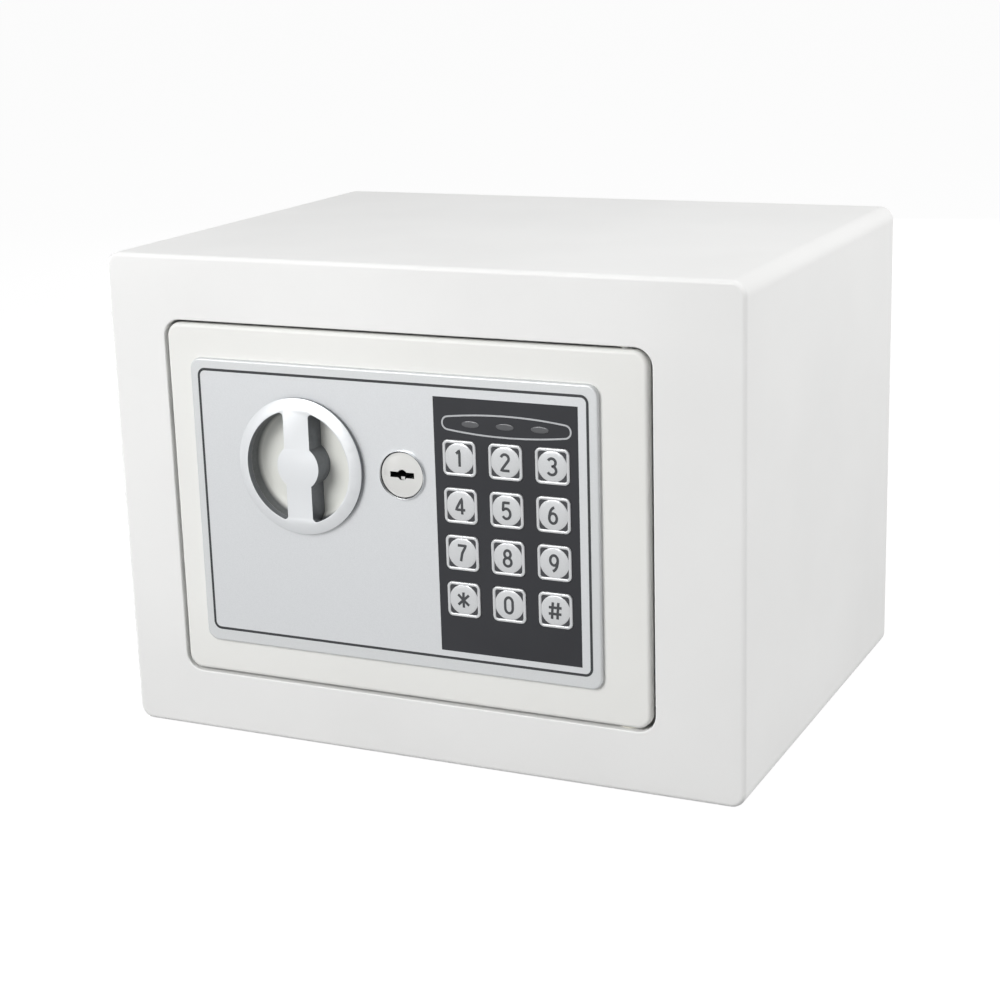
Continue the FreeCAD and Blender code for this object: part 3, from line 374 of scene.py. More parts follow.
def needle_felt(name):
    return surface(name, (62, 63, 66), 0.9, 0.0, ((700, 4), (40, 41, 44), (84, 85, 89)),
                   grain=((1100, 4), 0.35, 0.8), Sheen_Weight=0.35, Sheen_Roughness=0.5)


def cell_label(name, low, high):
    """A dry cell's plain sleeve: grey blue for most of its length, with a pale band at one end."""
    material, tree, shader = finish(name, (72, 92, 112), 0.3)
    height = place(tree, "ShaderNodeSeparateXYZ", {"Vector": where(tree)}).outputs["Z"]
    along = place(tree, "ShaderNodeMapRange", {"Value": height, "From Min": low, "From Max": high})
    tint(tree, shader, along.outputs["Result"], (70, 90, 110), (206, 209, 212), 0.82, 0.83)
    gloss(tree, shader, spots(tree, 200, 3), 0.24, 0.36)
    relief(tree, shader, spots(tree, 260, 3), 0.02, 0.2)
    return material


# %% [markdown]
# ## One finish for each slot
# The record names a slot for every node. The table below says how each slot looks, and the loop
# gives it to all nodes of that slot.

# %% Slots
cell_low, cell_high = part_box("batteries")
finishes = {
    "cabinet_paint": powder_coat("cabinet_paint", (237, 237, 236), (242, 242, 241)),
    "door_paint": powder_coat("door_paint", (235, 235, 232), (240, 240, 237)),
    "panel_silver": silver_spray("panel_silver", (201, 203, 204), (210, 212, 213), 0.44),
    "fascia_black": dark_film("fascia_black", (38, 39, 43), (45, 46, 50)),
    "key_silver": silver_spray("key_silver", (196, 198, 200), (210, 211, 212), 0.34),
    "lens_smoke": moulded("lens_smoke", (82, 83, 86), (96, 97, 100), 0.14, 0.003),
    "knob_silver": silver_spray("knob_silver", (206, 208, 210), (218, 219, 220), 0.36, 0.5),
    "knob_cream": moulded("knob_cream", (226, 227, 221), (234, 235, 229), 0.42, 0.008),
    "zinc_steel": zinc_plate("zinc_steel"),
    "bolt_steel": turned_steel("bolt_steel"),
    "lock_chrome": polished("lock_chrome", (222, 224, 226), 0.09),
    "nylon": moulded("nylon", (226, 224, 212), (236, 234, 224), 0.45, 0.006),
    "black_plastic": moulded("black_plastic", (28, 29, 31), (36, 37, 39), 0.42),
    "mat_carpet": needle_felt("mat_carpet"),
    "board_green": solder_mask("board_green"),
    "component_black": moulded("component_black", (26, 27, 29), (34, 35, 37), 0.55, 0.01),
    "led_clear": moulded("led_clear", (176, 60, 52), (196, 78, 66), 0.12, 0.002),
    "coil_copper": moulded("bobbin_plastic", (66, 62, 54), (80, 75, 64), 0.5, 0.01),
    "spring_steel": drawn_wire("spring_steel", (150, 152, 154), (186, 188, 190)),
    "cell_wrap": cell_label("cell_wrap", cell_low.z, cell_high.z),
    "contact_nickel": drawn_wire("contact_nickel", (190, 188, 180), (216, 214, 206), 0.2),
    "reset_red": moulded("reset_red", (158, 26, 24), (182, 34, 30), 0.35, 0.006),
}
for subpart in frame["record"]["subparts"]:
    node = frame["nodes"][subpart["node"]]
    node.data.materials.clear()
    node.data.materials.append(finishes[subpart["material_slot"]])
    print(subpart["node"], "->", subpart["material_slot"])

# %% [markdown]
# ## Shapes drawn on the door's face
# Several pieces are flat shapes that lie on the front: a printed line, a printed field, the dark
# wells of the keys. The steps here draw rounded rectangles, fill what lies between them, give it a
# thickness and turn it to face the front. In a recipe X and Y are the drawing plane and the
# thickness grows along Z. A quarter turn about X then makes Z point forwards.

# %% Recipe steps that several shapes share
FACE_FRONT = (math.radians(90), 0.0, 0.0)
LEAST_CORNER = 0.1 * MM


def minus(tree, a, b, factor=1.0):
    """a - b * factor, for two numbers."""
    return number(tree, "SUBTRACT", a, number(tree, "MULTIPLY", b, factor))


def rounded(tree, width, height, corner, count=10):
    """Rounded rectangle as a curve."""
    sides = place(tree, "GeometryNodeCurvePrimitiveQuadrilateral", {"Width": width, "Height": height})
    return place(tree, "GeometryNodeFilletCurve", {"Curve": sides, "Radius": corner, "Count": count},
                 mode="POLY")


def join(tree, *parts):
    """Several geometries as one."""
    together = place(tree, "GeometryNodeJoinGeometry")
    for part in parts:
        tree.links.new(part.outputs[0], together.inputs[0])
    return together


def thicken(tree, curves, thickness):
    """Fills flat curves and grows them along Z into a closed plate."""
    filled = place(tree, "GeometryNodeFillCurve", {"Curve": curves}, mode="NGONS")
    grown = place(tree, "GeometryNodeExtrudeMesh",
                  {"Mesh": filled, "Offset": vector(tree, Z=thickness), "Offset Scale": 1.0,
                   "Individual": False})
    under = place(tree, "GeometryNodeFlipFaces", {"Mesh": filled})
    return place(tree, "GeometryNodeMergeByDistance",
                 {"Geometry": join(tree, under, grown), "Distance": WELD})


def to_front(tree, geometry, spot):
    """Turns a drawing to face the front and moves it to its spot."""
    return transform(tree, geometry, Translation=spot, Rotation=FACE_FRONT)


# %% The printed ring recipe
def ring_recipe():
    tree, given = recipe("printed_ring", Width=0.1, Height=0.1, Corner=0.002, Line=0.001,
                         Thickness=0.0001, Spot=(0.0, 0.0, 0.0))
    outer = rounded(tree, given["Width"], given["Height"], given["Corner"])
    inner_corner = number(tree, "MAXIMUM", minus(tree, given["Corner"], given["Line"]), LEAST_CORNER)
    inner = rounded(tree, minus(tree, given["Width"], given["Line"], 2.0),
                    minus(tree, given["Height"], given["Line"], 2.0), inner_corner)
    plate = thicken(tree, join(tree, outer, inner), given["Thickness"])
    return serve(tree, given, to_front(tree, plate, given["Spot"]))


printed_ring = ring_recipe()

# %% [markdown]
# ## The control panel's print
# The panel is silver with a lighter border. A black line runs round it, and inside the line lies
# the field, a slightly cooler silver, with openings for the knob, the lock and the keypad. The ink
# is a real layer a few hundredths of a millimetre thick, so it also shows in the exported mesh.

# %% Places on the panel
def middle_of(node):
    """The middle of a node's box."""
    low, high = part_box(node)
    return (low + high) / 2


panel_low, panel_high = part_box("control_panel")
fascia_low, fascia_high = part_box("keypad_fascia")
FACE_Y = panel_low.y
knob_spot = middle_of("knob_dial")
lock_spot = middle_of("lock_body")
keypad_spot = middle_of("keypad_fascia")
LINE_MARGIN = {"left": 3.0 * MM, "right": 3.15 * MM, "top": 3.35 * MM, "bottom": 4.3 * MM}
LINE_WIDTH = 0.9 * MM
LINE_CORNER = 2.8 * MM
INK = 0.04 * MM
line_left = panel_low.x + LINE_MARGIN["left"]
line_right = panel_high.x - LINE_MARGIN["right"]
line_bottom = panel_low.z + LINE_MARGIN["bottom"]
line_top = panel_high.z - LINE_MARGIN["top"]
line_spot = (((line_left + line_right) / 2), FACE_Y, (line_bottom + line_top) / 2)
print("line", [round(v / MM, 2) for v in (line_left, line_right, line_bottom, line_top)])

# %% The black line
ink_black = moulded("ink_black", (34, 36, 39), (42, 44, 47), 0.4, 0.004)
panel_line = cook(printed_ring, "panel_line", ink_black, Width=line_right - line_left,
                  Height=line_top - line_bottom, Corner=LINE_CORNER, Line=LINE_WIDTH,
                  Thickness=INK, Spot=line_spot)
fit(panel_line, "door", "fascia_black")

# %% The silver field
def field_recipe():
    tree, given = recipe("panel_field", Width=0.1, Height=0.1, Corner=0.002, Thickness=0.0001,
                         KnobRadius=0.02, KnobAt=(0.0, 0.0, 0.0), LockRadius=0.008,
                         LockAt=(0.0, 0.0, 0.0), KeypadWidth=0.05, KeypadHeight=0.08,
                         KeypadAt=(0.0, 0.0, 0.0), Spot=(0.0, 0.0, 0.0))
    outer = rounded(tree, given["Width"], given["Height"], given["Corner"])
    cuts = []
    for radius, at in (("KnobRadius", "KnobAt"), ("LockRadius", "LockAt")):
        circle = place(tree, "GeometryNodeCurvePrimitiveCircle",
                       {"Resolution": 96, "Radius": given[radius]})
        cuts.append(transform(tree, circle, Translation=given[at]))
    keypad = place(tree, "GeometryNodeCurvePrimitiveQuadrilateral",
                   {"Width": given["KeypadWidth"], "Height": given["KeypadHeight"]})
    cuts.append(transform(tree, keypad, Translation=given["KeypadAt"]))
    plate = thicken(tree, join(tree, outer, *cuts), given["Thickness"])
    return serve(tree, given, to_front(tree, plate, given["Spot"]))


def on_field(spot):
    """A place on the front as seen from the field's middle."""
    return (spot[0] - line_spot[0], spot[2] - line_spot[2], 0.0)


KNOB_OPENING = 21.6 * MM
LOCK_OPENING = 7.8 * MM
field_silver = silver_spray("field_silver", (203, 205, 207), (212, 214, 216), 0.4, 0.4)
panel_field = cook(field_recipe(), "panel_field", field_silver,
                   Width=line_right - line_left - LINE_WIDTH, Height=line_top - line_bottom - LINE_WIDTH,
                   Corner=LINE_CORNER - LINE_WIDTH / 2, Thickness=INK / 2, KnobRadius=KNOB_OPENING,
                   KnobAt=on_field(knob_spot), LockRadius=LOCK_OPENING, LockAt=on_field(lock_spot),
                   KeypadWidth=fascia_high.x - fascia_low.x, KeypadHeight=fascia_high.z - fascia_low.z,
                   KeypadAt=on_field(keypad_spot), Spot=line_spot)
fit(panel_field, "door", "panel_silver")

# %% [markdown]
# ## Lines that follow a path
# The outline round the lamps and the figures on the keys are strokes of one width. A stroke is an
# edge path drawn in Python, and the recipe sweeps a flat bar along it with Curve to Mesh. The bar's
# ends are closed. The path's normals are held upright so that the bar never twists.

# %% The stroke recipe
def stroke_recipe():
    tree, given = recipe("stroke", Line=0.001, Thickness=0.0001, Cuts=0, Spot=(0.0, 0.0, 0.0))
    path = place(tree, "GeometryNodeMeshToCurve", {"Mesh": given["Geometry"]})
    finer = place(tree, "GeometryNodeSubdivideCurve", {"Curve": path, "Cuts": given["Cuts"]})
    flat = place(tree, "GeometryNodeSetCurveNormal", {"Curve": finer}, mode="Z_UP")
    bar = place(tree, "GeometryNodeCurvePrimitiveQuadrilateral",
                {"Width": given["Line"], "Height": given["Thickness"]})
    swept = place(tree, "GeometryNodeCurveToMesh",
                  {"Curve": flat, "Profile Curve": bar, "Fill Caps": True})
    return serve(tree, given, to_front(tree, swept, given["Spot"]))


stroke = stroke_recipe()


def path_mesh(name, paths):
    """Edge paths as a mesh; a path that ends where it starts is closed."""
    points, edges = [], []
    for path in paths:
        closed = (Vector(path[0]) - Vector(path[-1])).length < 1e-9
        own = path[:-1] if closed else path
        first = len(points)
        points += [(x, y, 0.0) for x, y in own]
        edges += [(first + i, first + i + 1) for i in range(len(own) - 1)]
        if closed:
            edges.append((first + len(own) - 1, first))
    mesh = bpy.data.meshes.new(name)
    mesh.from_pydata(points, edges, [])
    return mesh


def bow(middle_x, middle_y, wide, tall, start, end, count=14):
    """Points on an ellipse from one angle to another, in degrees."""
    angles = [math.radians(start + (end - start) * i / count) for i in range(count + 1)]
    return [(middle_x + wide * math.cos(a), middle_y + tall * math.sin(a)) for a in angles]


# %% The outline round the lamps
lamp_low, lamp_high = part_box("led_lenses")
WINDOW_LEFT = 3.1 * MM
WINDOW_RIGHT = 2.5 * MM
WINDOW_LENGTH = fascia_high.x - fascia_low.x - WINDOW_LEFT - WINDOW_RIGHT
WINDOW_TALL = 7.0 * MM
WINDOW_END = 2.2 * MM
WINDOW_LINE = 0.55 * MM


def window_path():
    """A long oval whose sides bow outwards between two small round ends."""
    half = WINDOW_LENGTH / 2 - WINDOW_END
    rise = WINDOW_TALL / 2 - WINDOW_END
    radius = (half ** 2 + rise ** 2) / (2 * rise)
    lean = math.degrees(math.asin(half / radius))
    centre = WINDOW_TALL / 2 - radius
    top = bow(0, centre, radius, radius, 90 + lean, 90 - lean, 24)
    right = bow(half, 0, WINDOW_END, WINDOW_END, 90 - lean, lean - 90, 14)
    bottom = [(-x, -y) for x, y in top]
    left = [(-x, -y) for x, y in right]
    path = top + right[1:-1] + bottom + left[1:-1]
    return path + path[:1]


window_spot = (fascia_low.x + WINDOW_LEFT + WINDOW_LENGTH / 2, fascia_low.y,
               (lamp_low.z + lamp_high.z) / 2)
ink_silver = silver_spray("ink_silver", (168, 170, 173), (184, 186, 188), 0.4)
window_outline = cook(stroke, "window_outline", ink_silver, start=path_mesh("window_path", [window_path()]),
                      Line=WINDOW_LINE, Thickness=INK * 2, Spot=window_spot)
fit(window_outline, "door", "key_silver")

# %% [markdown]
# ## The lamp lenses
# Three smoked lenses sit in the window, each an oval light guide with a low dome. They stand in a
# row at one pitch, so a recipe makes one and sets it on the points of a line.

# %% The lens recipe
def lens_recipe():
    tree, given = recipe("lenses", Length=0.006, Tall=0.002, Depth=0.0016, Rise=0.0002,
                         Pitch=0.012, Count=3, Spot=(0.0, 0.0, 0.0))
    half_long = number(tree, "MULTIPLY", given["Length"], 0.5)
    half_tall = number(tree, "MULTIPLY", given["Tall"], 0.5)
    down = number(tree, "MULTIPLY", given["Depth"], -0.5)
    guide = place(tree, "GeometryNodeMeshCylinder", {"Vertices": 40, "Radius": 1.0, "Depth": 1.0})
    guide = transform(tree, guide, Scale=vector(tree, X=half_long, Y=half_tall, Z=given["Depth"]),
                      Translation=vector(tree, Z=down))
    dome = place(tree, "GeometryNodeMeshUVSphere", {"Segments": 40, "Rings": 14, "Radius": 1.0})
    dome = transform(tree, dome, Scale=vector(tree, X=half_long, Y=half_tall, Z=given["Rise"]))
    row = place(tree, "GeometryNodeMeshLine",
                {"Count": given["Count"], "Offset": vector(tree, X=given["Pitch"])})
    set_out = place(tree, "GeometryNodeInstanceOnPoints",
                    {"Points": row, "Instance": join(tree, guide, dome)})
    return serve(tree, given, to_front(tree, set_out, given["Spot"]))


# %% Lamp lenses
LENS_LENGTH = 6.2 * MM
LENS_TALL = 2.2 * MM
lens_pitch = (lamp_high.x - lamp_low.x - LENS_LENGTH) / 2
first_lens = (lamp_low.x + LENS_LENGTH / 2, lamp_low.y, window_spot[2])
lamp_lenses = cook(lens_recipe(), "lamp_lenses", finishes["lens_smoke"], Length=LENS_LENGTH,
                   Tall=LENS_TALL, Depth=lamp_high.y - lamp_low.y, Rise=0.18 * MM, Pitch=lens_pitch,
                   Count=3, Spot=first_lens)
fit(lamp_lenses, "door", "lens_smoke", "led_lenses")

# %% [markdown]
# ## The keys
# Each key is a moulded cap in one piece: a plate behind the fascia that keeps it in, a square body,
# a raised frame with rounded corners and a low dome. The corners between frame and dome are dark.
# The cap follows a rule, so a recipe makes it, and a loop runs the recipe twelve times.

# %% The key cap recipe
def cap_recipe():
    tree, given = recipe("key_cap", Size=0.012, Corner=0.002, Line=0.001, FrameHeight=0.0004,
                         BodyDepth=0.002, DiscRadius=0.005, Dome=0.0004, PlateSize=0.0135,
                         PlateThickness=0.0008, StemRadius=0.0017, StemLength=0.0002,
                         Spot=(0.0, 0.0, 0.0))
    body = thicken(tree, rounded(tree, given["Size"], given["Size"], given["Corner"]), given["BodyDepth"])
    plate = thicken(tree, rounded(tree, given["PlateSize"], given["PlateSize"], given["Corner"]),
                    given["PlateThickness"])
    down = number(tree, "MULTIPLY", given["PlateThickness"], -1.0)
    plate = transform(tree, plate, Translation=vector(tree, Z=down))
    side = minus(tree, given["Size"], given["Line"])
    middle = rounded(tree, side, side, minus(tree, given["Corner"], given["Line"], 0.5), 6)
    bead = place(tree, "GeometryNodeCurvePrimitiveCircle", {"Resolution": 14, "Radius": 1.0})
    bead = transform(tree, bead, Scale=vector(tree, X=number(tree, "MULTIPLY", given["Line"], 0.5),
                                              Y=given["FrameHeight"], Z=1.0))
    upright = place(tree, "GeometryNodeSetCurveNormal", {"Curve": middle}, mode="Z_UP")
    rim = place(tree, "GeometryNodeCurveToMesh", {"Curve": upright, "Profile Curve": bead})
    top = vector(tree, Z=given["BodyDepth"])
    rim = transform(tree, rim, Translation=top)
    dome = place(tree, "GeometryNodeMeshUVSphere", {"Segments": 48, "Rings": 16, "Radius": 1.0})
    dome = transform(tree, dome, Translation=top, Scale=vector(
        tree, X=given["DiscRadius"], Y=given["DiscRadius"], Z=given["Dome"]))
    stem = place(tree, "GeometryNodeMeshCylinder",
                 {"Vertices": 24, "Radius": given["StemRadius"], "Depth": given["StemLength"]})
    low = minus(tree, down, given["StemLength"], 0.5)
    stem = transform(tree, stem, Translation=vector(tree, Z=low))
    return serve(tree, given, to_front(tree, join(tree, body, plate, rim, dome, stem), given["Spot"]))


key_cap = cap_recipe()

# %% Key sizes
KEY_SINK = 0.3 * MM
KEY_PLATE = 0.8 * MM
KEY_STEM = 0.2 * MM
KEY_STEM_RADIUS = 1.7 * MM
KEY_LINE = 1.05 * MM
KEY_CORNER = 1.9 * MM
WELL_LINE = 1.9 * MM
DISC_RADIUS = 5.2 * MM
DOME = 0.42 * MM
FIGURE_TALL = 5.35 * MM
FIGURE_LINE = 0.9 * MM

# %% [markdown]
# ## The figures on the keys
# The figures are plain strokes in a narrow sans style. Each is a list of paths in a box one unit
# tall, made of straight runs and bows. After the sweep every point is dropped onto the dome, so
# that the ink follows the key.

# %% Figures
def loop(middle_y, wide, tall):
    """A closed ellipse on the figure's middle line."""
    points = bow(0, middle_y, wide, tall, 90, 450, 30)
    return points[:-1] + points[:1]


def half_turn(paths):
    """The same figure upside down, as a 9 is to a 6."""
    return [[(-x, 1.0 - y) for x, y in path] for path in paths]


def star(reach, slant=42):
    """Three crossed arms: one upright, and two that lean to either side of it."""
    arms = [math.radians(90 + turn) for turn in (0, 90 - slant, slant - 90)]
    ends = [(reach * math.cos(arm), reach * math.sin(arm)) for arm in arms]
    return [[(-x, 0.5 - y), (x, 0.5 + y)] for x, y in ends]


SIX = [loop(0.31, 0.245, 0.31),
       [(-0.245, 0.31), (-0.235, 0.46)] + bow(0.16, 0.42, 0.385, 0.58, 168, 100, 8)]
FIGURES = {
    "0": [bow(0, 0.68, 0.25, 0.32, 180, 0) + bow(0, 0.32, 0.25, 0.32, 0, -180) + [(-0.25, 0.68)]],
    "1": [[(-0.17, 0.80), (0.05, 1.0), (0.05, 0.0)]],
    "2": [bow(0, 0.745, 0.255, 0.255, 165, -25) + [(-0.265, 0.0), (0.29, 0.0)]],
    "3": [bow(-0.01, 0.755, 0.25, 0.245, 155, -80) + bow(-0.01, 0.265, 0.28, 0.265, 80, -155)],
    "4": [[(0.11, 0.0), (0.11, 1.0), (-0.30, 0.28), (0.32, 0.28)]],
    "5": [[(0.24, 1.0), (-0.18, 1.0), (-0.215, 0.53)] + bow(0, 0.32, 0.265, 0.32, 128, -150)],
    "6": SIX,
    "7": [[(-0.275, 1.0), (0.27, 1.0), (0.02, 0.52), (-0.09, 0.0)]],
    "8": [loop(0.765, 0.205, 0.235), loop(0.265, 0.25, 0.265)],
    "9": half_turn(SIX),
    "star": star(0.49),
    "hash": [[(-0.22, -0.03), (-0.14, 1.03)], [(0.14, -0.03), (0.22, 1.03)],
             [(-0.41, 0.70), (0.43, 0.70)], [(-0.43, 0.30), (0.41, 0.30)]],
}


def drape_on_dome(mesh, x, z, base_y):
    """Sinks flat ink onto a dome of the keys' size; the dome bulges towards -Y."""
    for vertex in mesh.vertices:
        out = math.hypot(vertex.co.x - x, vertex.co.z - z)
        rise = DOME * math.sqrt(max(0.0, 1 - (out / DISC_RADIUS) ** 2))
        vertex.co.y += base_y - rise


# %% Make the keys
ink_figure = moulded("ink_figure", (50, 52, 55), (60, 62, 65), 0.45, 0.004)
well_dark = moulded("well_dark", (44, 45, 49), (52, 53, 57), 0.5, 0.008)
for name, paths in FIGURES.items():
    node = "key_" + name
    low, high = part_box(node)
    middle = (low + high) / 2
    cap_size = high.x - low.x - 2 * KEY_PLATE
    front = low.y + KEY_SINK
    back = high.y - KEY_STEM - KEY_PLATE
    cap = cook(key_cap, node + "_cap", finishes["key_silver"], Size=cap_size, Corner=KEY_CORNER,
               Line=KEY_LINE, FrameHeight=KEY_SINK, BodyDepth=back - front, DiscRadius=DISC_RADIUS,
               Dome=DOME, PlateSize=high.x - low.x, PlateThickness=KEY_PLATE, StemRadius=KEY_STEM_RADIUS,
               StemLength=KEY_STEM, Spot=(middle.x, back, middle.z))
    fit(cap, node, "key_silver", node)
    inner = cap_size - KEY_LINE
    well = cook(printed_ring, node + "_well", well_dark, Width=inner, Height=inner,
                Corner=KEY_CORNER - KEY_LINE / 2, Line=WELL_LINE, Thickness=INK,
                Spot=(middle.x, front, middle.z))
    fit(well, node, "fascia_black")
    scaled = [[(x * FIGURE_TALL, (y - 0.5) * FIGURE_TALL) for x, y in path] for path in paths]
    figure = cook(stroke, node + "_figure", ink_figure, start=path_mesh(node, scaled),
                  Line=FIGURE_LINE, Thickness=INK * 2, Cuts=5, Spot=(middle.x, 0.0, middle.z))
    drape_on_dome(figure.data, middle.x, middle.z, front)
    fit(figure, node, "fascia_black")

# %% [markdown]
# ## Softened castings
# A drawing's edges are knife sharp, but a die-cast knob and a chromed lock have small rounds that
# catch the light. A copy of the node is merged, its flat faces are joined and its edges get a
# narrow bevel. The copy then stands for the node.

# %% Copies of a node's mesh
def merged_copy(node):
    """A node's triangles, joined where they touch; the node itself is left alone."""
    made = bmesh.new()
    made.from_mesh(frame["nodes"][node].data)
    bmesh.ops.remove_doubles(made, verts=made.verts, dist=WELD)
    return made


def as_mesh(made, name):
    """Ends an edit and returns the mesh that it made."""
    mesh = bpy.data.meshes.new(name)
    made.to_mesh(mesh)
    made.free()
    return mesh


def without_normals(mesh):
    """Drops the normals that the drawing stored, which no longer fit an edited mesh."""
    for stored in [a for a in mesh.attributes if a.name == "custom_normal"]:
        mesh.attributes.remove(stored)
    return mesh


# %% Soften a node
SAME_PLANE = math.radians(0.6)
SHARP = math.radians(28)


def softened(node, width):
    """A copy of a node whose edges are rounded by width, in metres."""
    made = merged_copy(node)
    bmesh.ops.dissolve_limit(made, angle_limit=SAME_PLANE, verts=made.verts, edges=made.edges)
    mesh = without_normals(as_mesh(made, node + "_soft"))
    carrier = bpy.data.objects.new(node + "_carrier", mesh)
    scene.collection.objects.link(carrier)
    bevel = carrier.modifiers.new("rounds", "BEVEL")
    bevel.width = width
    bevel.segments = 3
    bevel.limit_method = "ANGLE"
    bevel.angle_limit = SHARP
    bevel.use_clamp_overlap = True
    evaluated = carrier.evaluated_get(bpy.context.evaluated_depsgraph_get())
    result = bpy.data.meshes.new_from_object(evaluated)
    bpy.data.objects.remove(carrier)
    return solid_object(node + "_soft", result, frame["nodes"][node].data.materials[0])


knob_dial = softened("knob_dial", 0.35 * MM)

# %% [markdown]
# ## The finger recess
# The knob's faces are sprayed and its recess has a cream floor. The upright walls, in the recess
# and round the rim's side, are painted darker grey as painted shade, for the shade that falls on
# them. One moulding carries both colours, so each face stores how upright it is, worked out from
# its own direction, and the finish mixes the two colours by that number.

# %% Painted shade on upright walls
def wall_shade_finish(name, front, wall, roughness, metallic=0.0, grain=900):
    """Mixes a front colour and a darker wall colour of painted shade by the mesh's own "upright" attribute.
    """
    material, tree, shader = finish(name, front, roughness, metallic)
    upright = place(tree, "ShaderNodeAttribute", attribute_name="upright").outputs["Fac"]
    # Noise varies how much painted shade each spot of a wall takes.
    shade_speckle = number(tree, "MULTIPLY", spots(tree, grain, 2), 0.12)
    amount = number(tree, "SUBTRACT", upright, shade_speckle, use_clamp=True)
    mixed = place(tree, "ShaderNodeMix", {"Factor": amount, 6: linear(front), 7: linear(wall)},
                  data_type="RGBA")
    tree.links.new(mixed.outputs[2], shader.inputs["Base Color"])
    gloss(tree, shader, spots(tree, 400, 2), roughness - 0.05, roughness + 0.08)
    relief(tree, shader, spots(tree, 3600, 1), 0.008, 0.3)
    return material


def mark_upright(piece, finish, flat=0.8, steep=0.35):
    """Stores 1 on faces that stand upright to the panel, 0 on those along it; sets the finish."""
    amounts = [min(1.0, max(0.0, (flat - abs(face.normal.y)) / (flat - steep)))
               for face in piece.data.polygons]
    marks = piece.data.attributes.new("upright", "FLOAT", "FACE")
    marks.data.foreach_set("value", amounts)
    piece.data.materials.clear()
    piece.data.materials.append(finish)
    return piece


# %% Knob
# The dial's upright walls get painted shade: a darker grey wall colour.
knob_wall_shade_finish = wall_shade_finish("knob_wall_shade_finish", (213, 215, 217), (118, 121, 126), 0.48, 0.5)
fit(mark_upright(knob_dial, knob_wall_shade_finish), "knob", "knob_silver", "knob_dial")
# The recess walls get painted shade: dark grey against the cream floor.
recess_wall_shade_finish = wall_shade_finish("recess_wall_shade_finish", (232, 233, 227), (98, 101, 104), 0.42)
knob_cup = softened("knob_cup", 0.12 * MM)
fit(mark_upright(knob_cup, recess_wall_shade_finish), "knob", "knob_cream", "knob_cup")

# %% [markdown]
# ## Wire: the plunger's spring and the coil's winding
# Both are one wire carried round a helix. A recipe makes the helix from a radius, a height and a
# number of turns, and sweeps a round section along it with closed ends. The spring stands between
# two bodies, so it is blended: its foot stays on the yoke and its top goes with the plunger.

# %% The helix recipe
def helix_recipe():
    tree, given = recipe("helix", Radius=0.004, Height=0.006, Turns=4.0, Wire=0.0003, Steps=36,
                         Sides=8, Spot=(0.0, 0.0, 0.0))
    path = place(tree, "GeometryNodeCurveSpiral",
                 {"Resolution": given["Steps"], "Rotations": given["Turns"], "Start Radius": given["Radius"],
                  "End Radius": given["Radius"], "Height": given["Height"]})
    section = place(tree, "GeometryNodeCurvePrimitiveCircle",
                    {"Resolution": given["Sides"], "Radius": given["Wire"]})
    wire = place(tree, "GeometryNodeCurveToMesh",
                 {"Curve": path, "Profile Curve": section, "Fill Caps": True})
    return serve(tree, given, transform(tree, wire, Translation=given["Spot"]))


helix = helix_recipe()

# %% The plunger's spring
SPRING_WIRE = 0.35 * MM
spring_low, spring_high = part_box("plunger_spring")
spring_middle = middle_of("plunger_spring")
spring_foot = (spring_middle.x, spring_middle.y, spring_low.z + SPRING_WIRE)
spring = cook(helix, "return_spring", finishes["spring_steel"], smooth=60,
              Radius=(spring_high.x - spring_low.x) / 2 - SPRING_WIRE,
              Height=spring_high.z - spring_low.z - 2 * SPRING_WIRE, Turns=4.5, Wire=SPRING_WIRE,
              Steps=36, Sides=8, Spot=spring_foot)
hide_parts("plunger_spring")
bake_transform(spring, "door", "plunger", start=(spring_foot[0], spring_foot[1], spring_low.z),
         end=(spring_foot[0], spring_foot[1], spring_high.z))
report(spring)

# %% The coil's winding
COIL_CHEEK = 1.2 * MM
COIL_WAIST = 0.8 * MM
COIL_WIRE = 0.37 * MM
coil_low, coil_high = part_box("solenoid_coil")
coil_middle = middle_of("solenoid_coil")
COIL_PITCH = 2.06 * COIL_WIRE
winding_height = coil_high.z - coil_low.z - 2 * (COIL_CHEEK + COIL_WIRE)
copper_wire = drawn_wire("copper_wire", (146, 80, 40), (186, 112, 62), 0.3)
winding = cook(helix, "coil_winding", copper_wire, smooth=60,
               Radius=(coil_high.x - coil_low.x) / 2 - COIL_WAIST + COIL_WIRE,
               Height=winding_height, Turns=winding_height / COIL_PITCH, Wire=COIL_WIRE,
               Steps=36, Sides=6,
               Spot=(coil_middle.x, coil_middle.y, coil_low.z + COIL_CHEEK + COIL_WIRE))
fit(winding, "door", "coil_copper")

# %% [markdown]
# ## Solder on the circuit board
# Every switch and chip is held by small bright beads of solder. They all share one shape, so a
# recipe sets a flattened ball on each point of a mesh. The points come from the switches' and
# chips' own boxes, which are found as the separate lumps of their nodes.

# %% Lumps of a node
def lumps(node):
    """The lowest and highest corner of each separate lump in a node's mesh."""
    made = merged_copy(node)
    left = set(made.verts)
    found = []
    while left:
        reached = {left.pop()}
        waiting = list(reached)
        while waiting:
            vertex = waiting.pop()
            fresh = {link.other_vert(vertex) for link in vertex.link_edges} - reached
            reached |= fresh
            waiting.extend(fresh)
        left -= reached
        low = Vector([min(vertex.co[i] for vertex in reached) for i in range(3)])
        high = Vector([max(vertex.co[i] for vertex in reached) for i in range(3)])
        found.append((low, high))
    made.free()
    return sorted(found, key=lambda box: tuple(box[0]))


# %% Solder beads
def bead_recipe():
    tree, given = recipe("solder", Radius=0.0005, Tall=0.0003)
    ball = place(tree, "GeometryNodeMeshUVSphere", {"Segments": 12, "Rings": 6, "Radius": 1.0})
    ball = transform(tree, ball, Scale=vector(tree, X=given["Radius"], Y=given["Tall"], Z=given["Radius"]))
    beads = place(tree, "GeometryNodeInstanceOnPoints", {"Points": given["Geometry"], "Instance": ball})
    return serve(tree, given, beads)


def row(low, high, count, inset):
    """Evenly spaced values between low and high, inset at both ends."""
    step = (high - low - 2 * inset) / (count - 1)
    return [low + inset + i * step for i in range(count)]


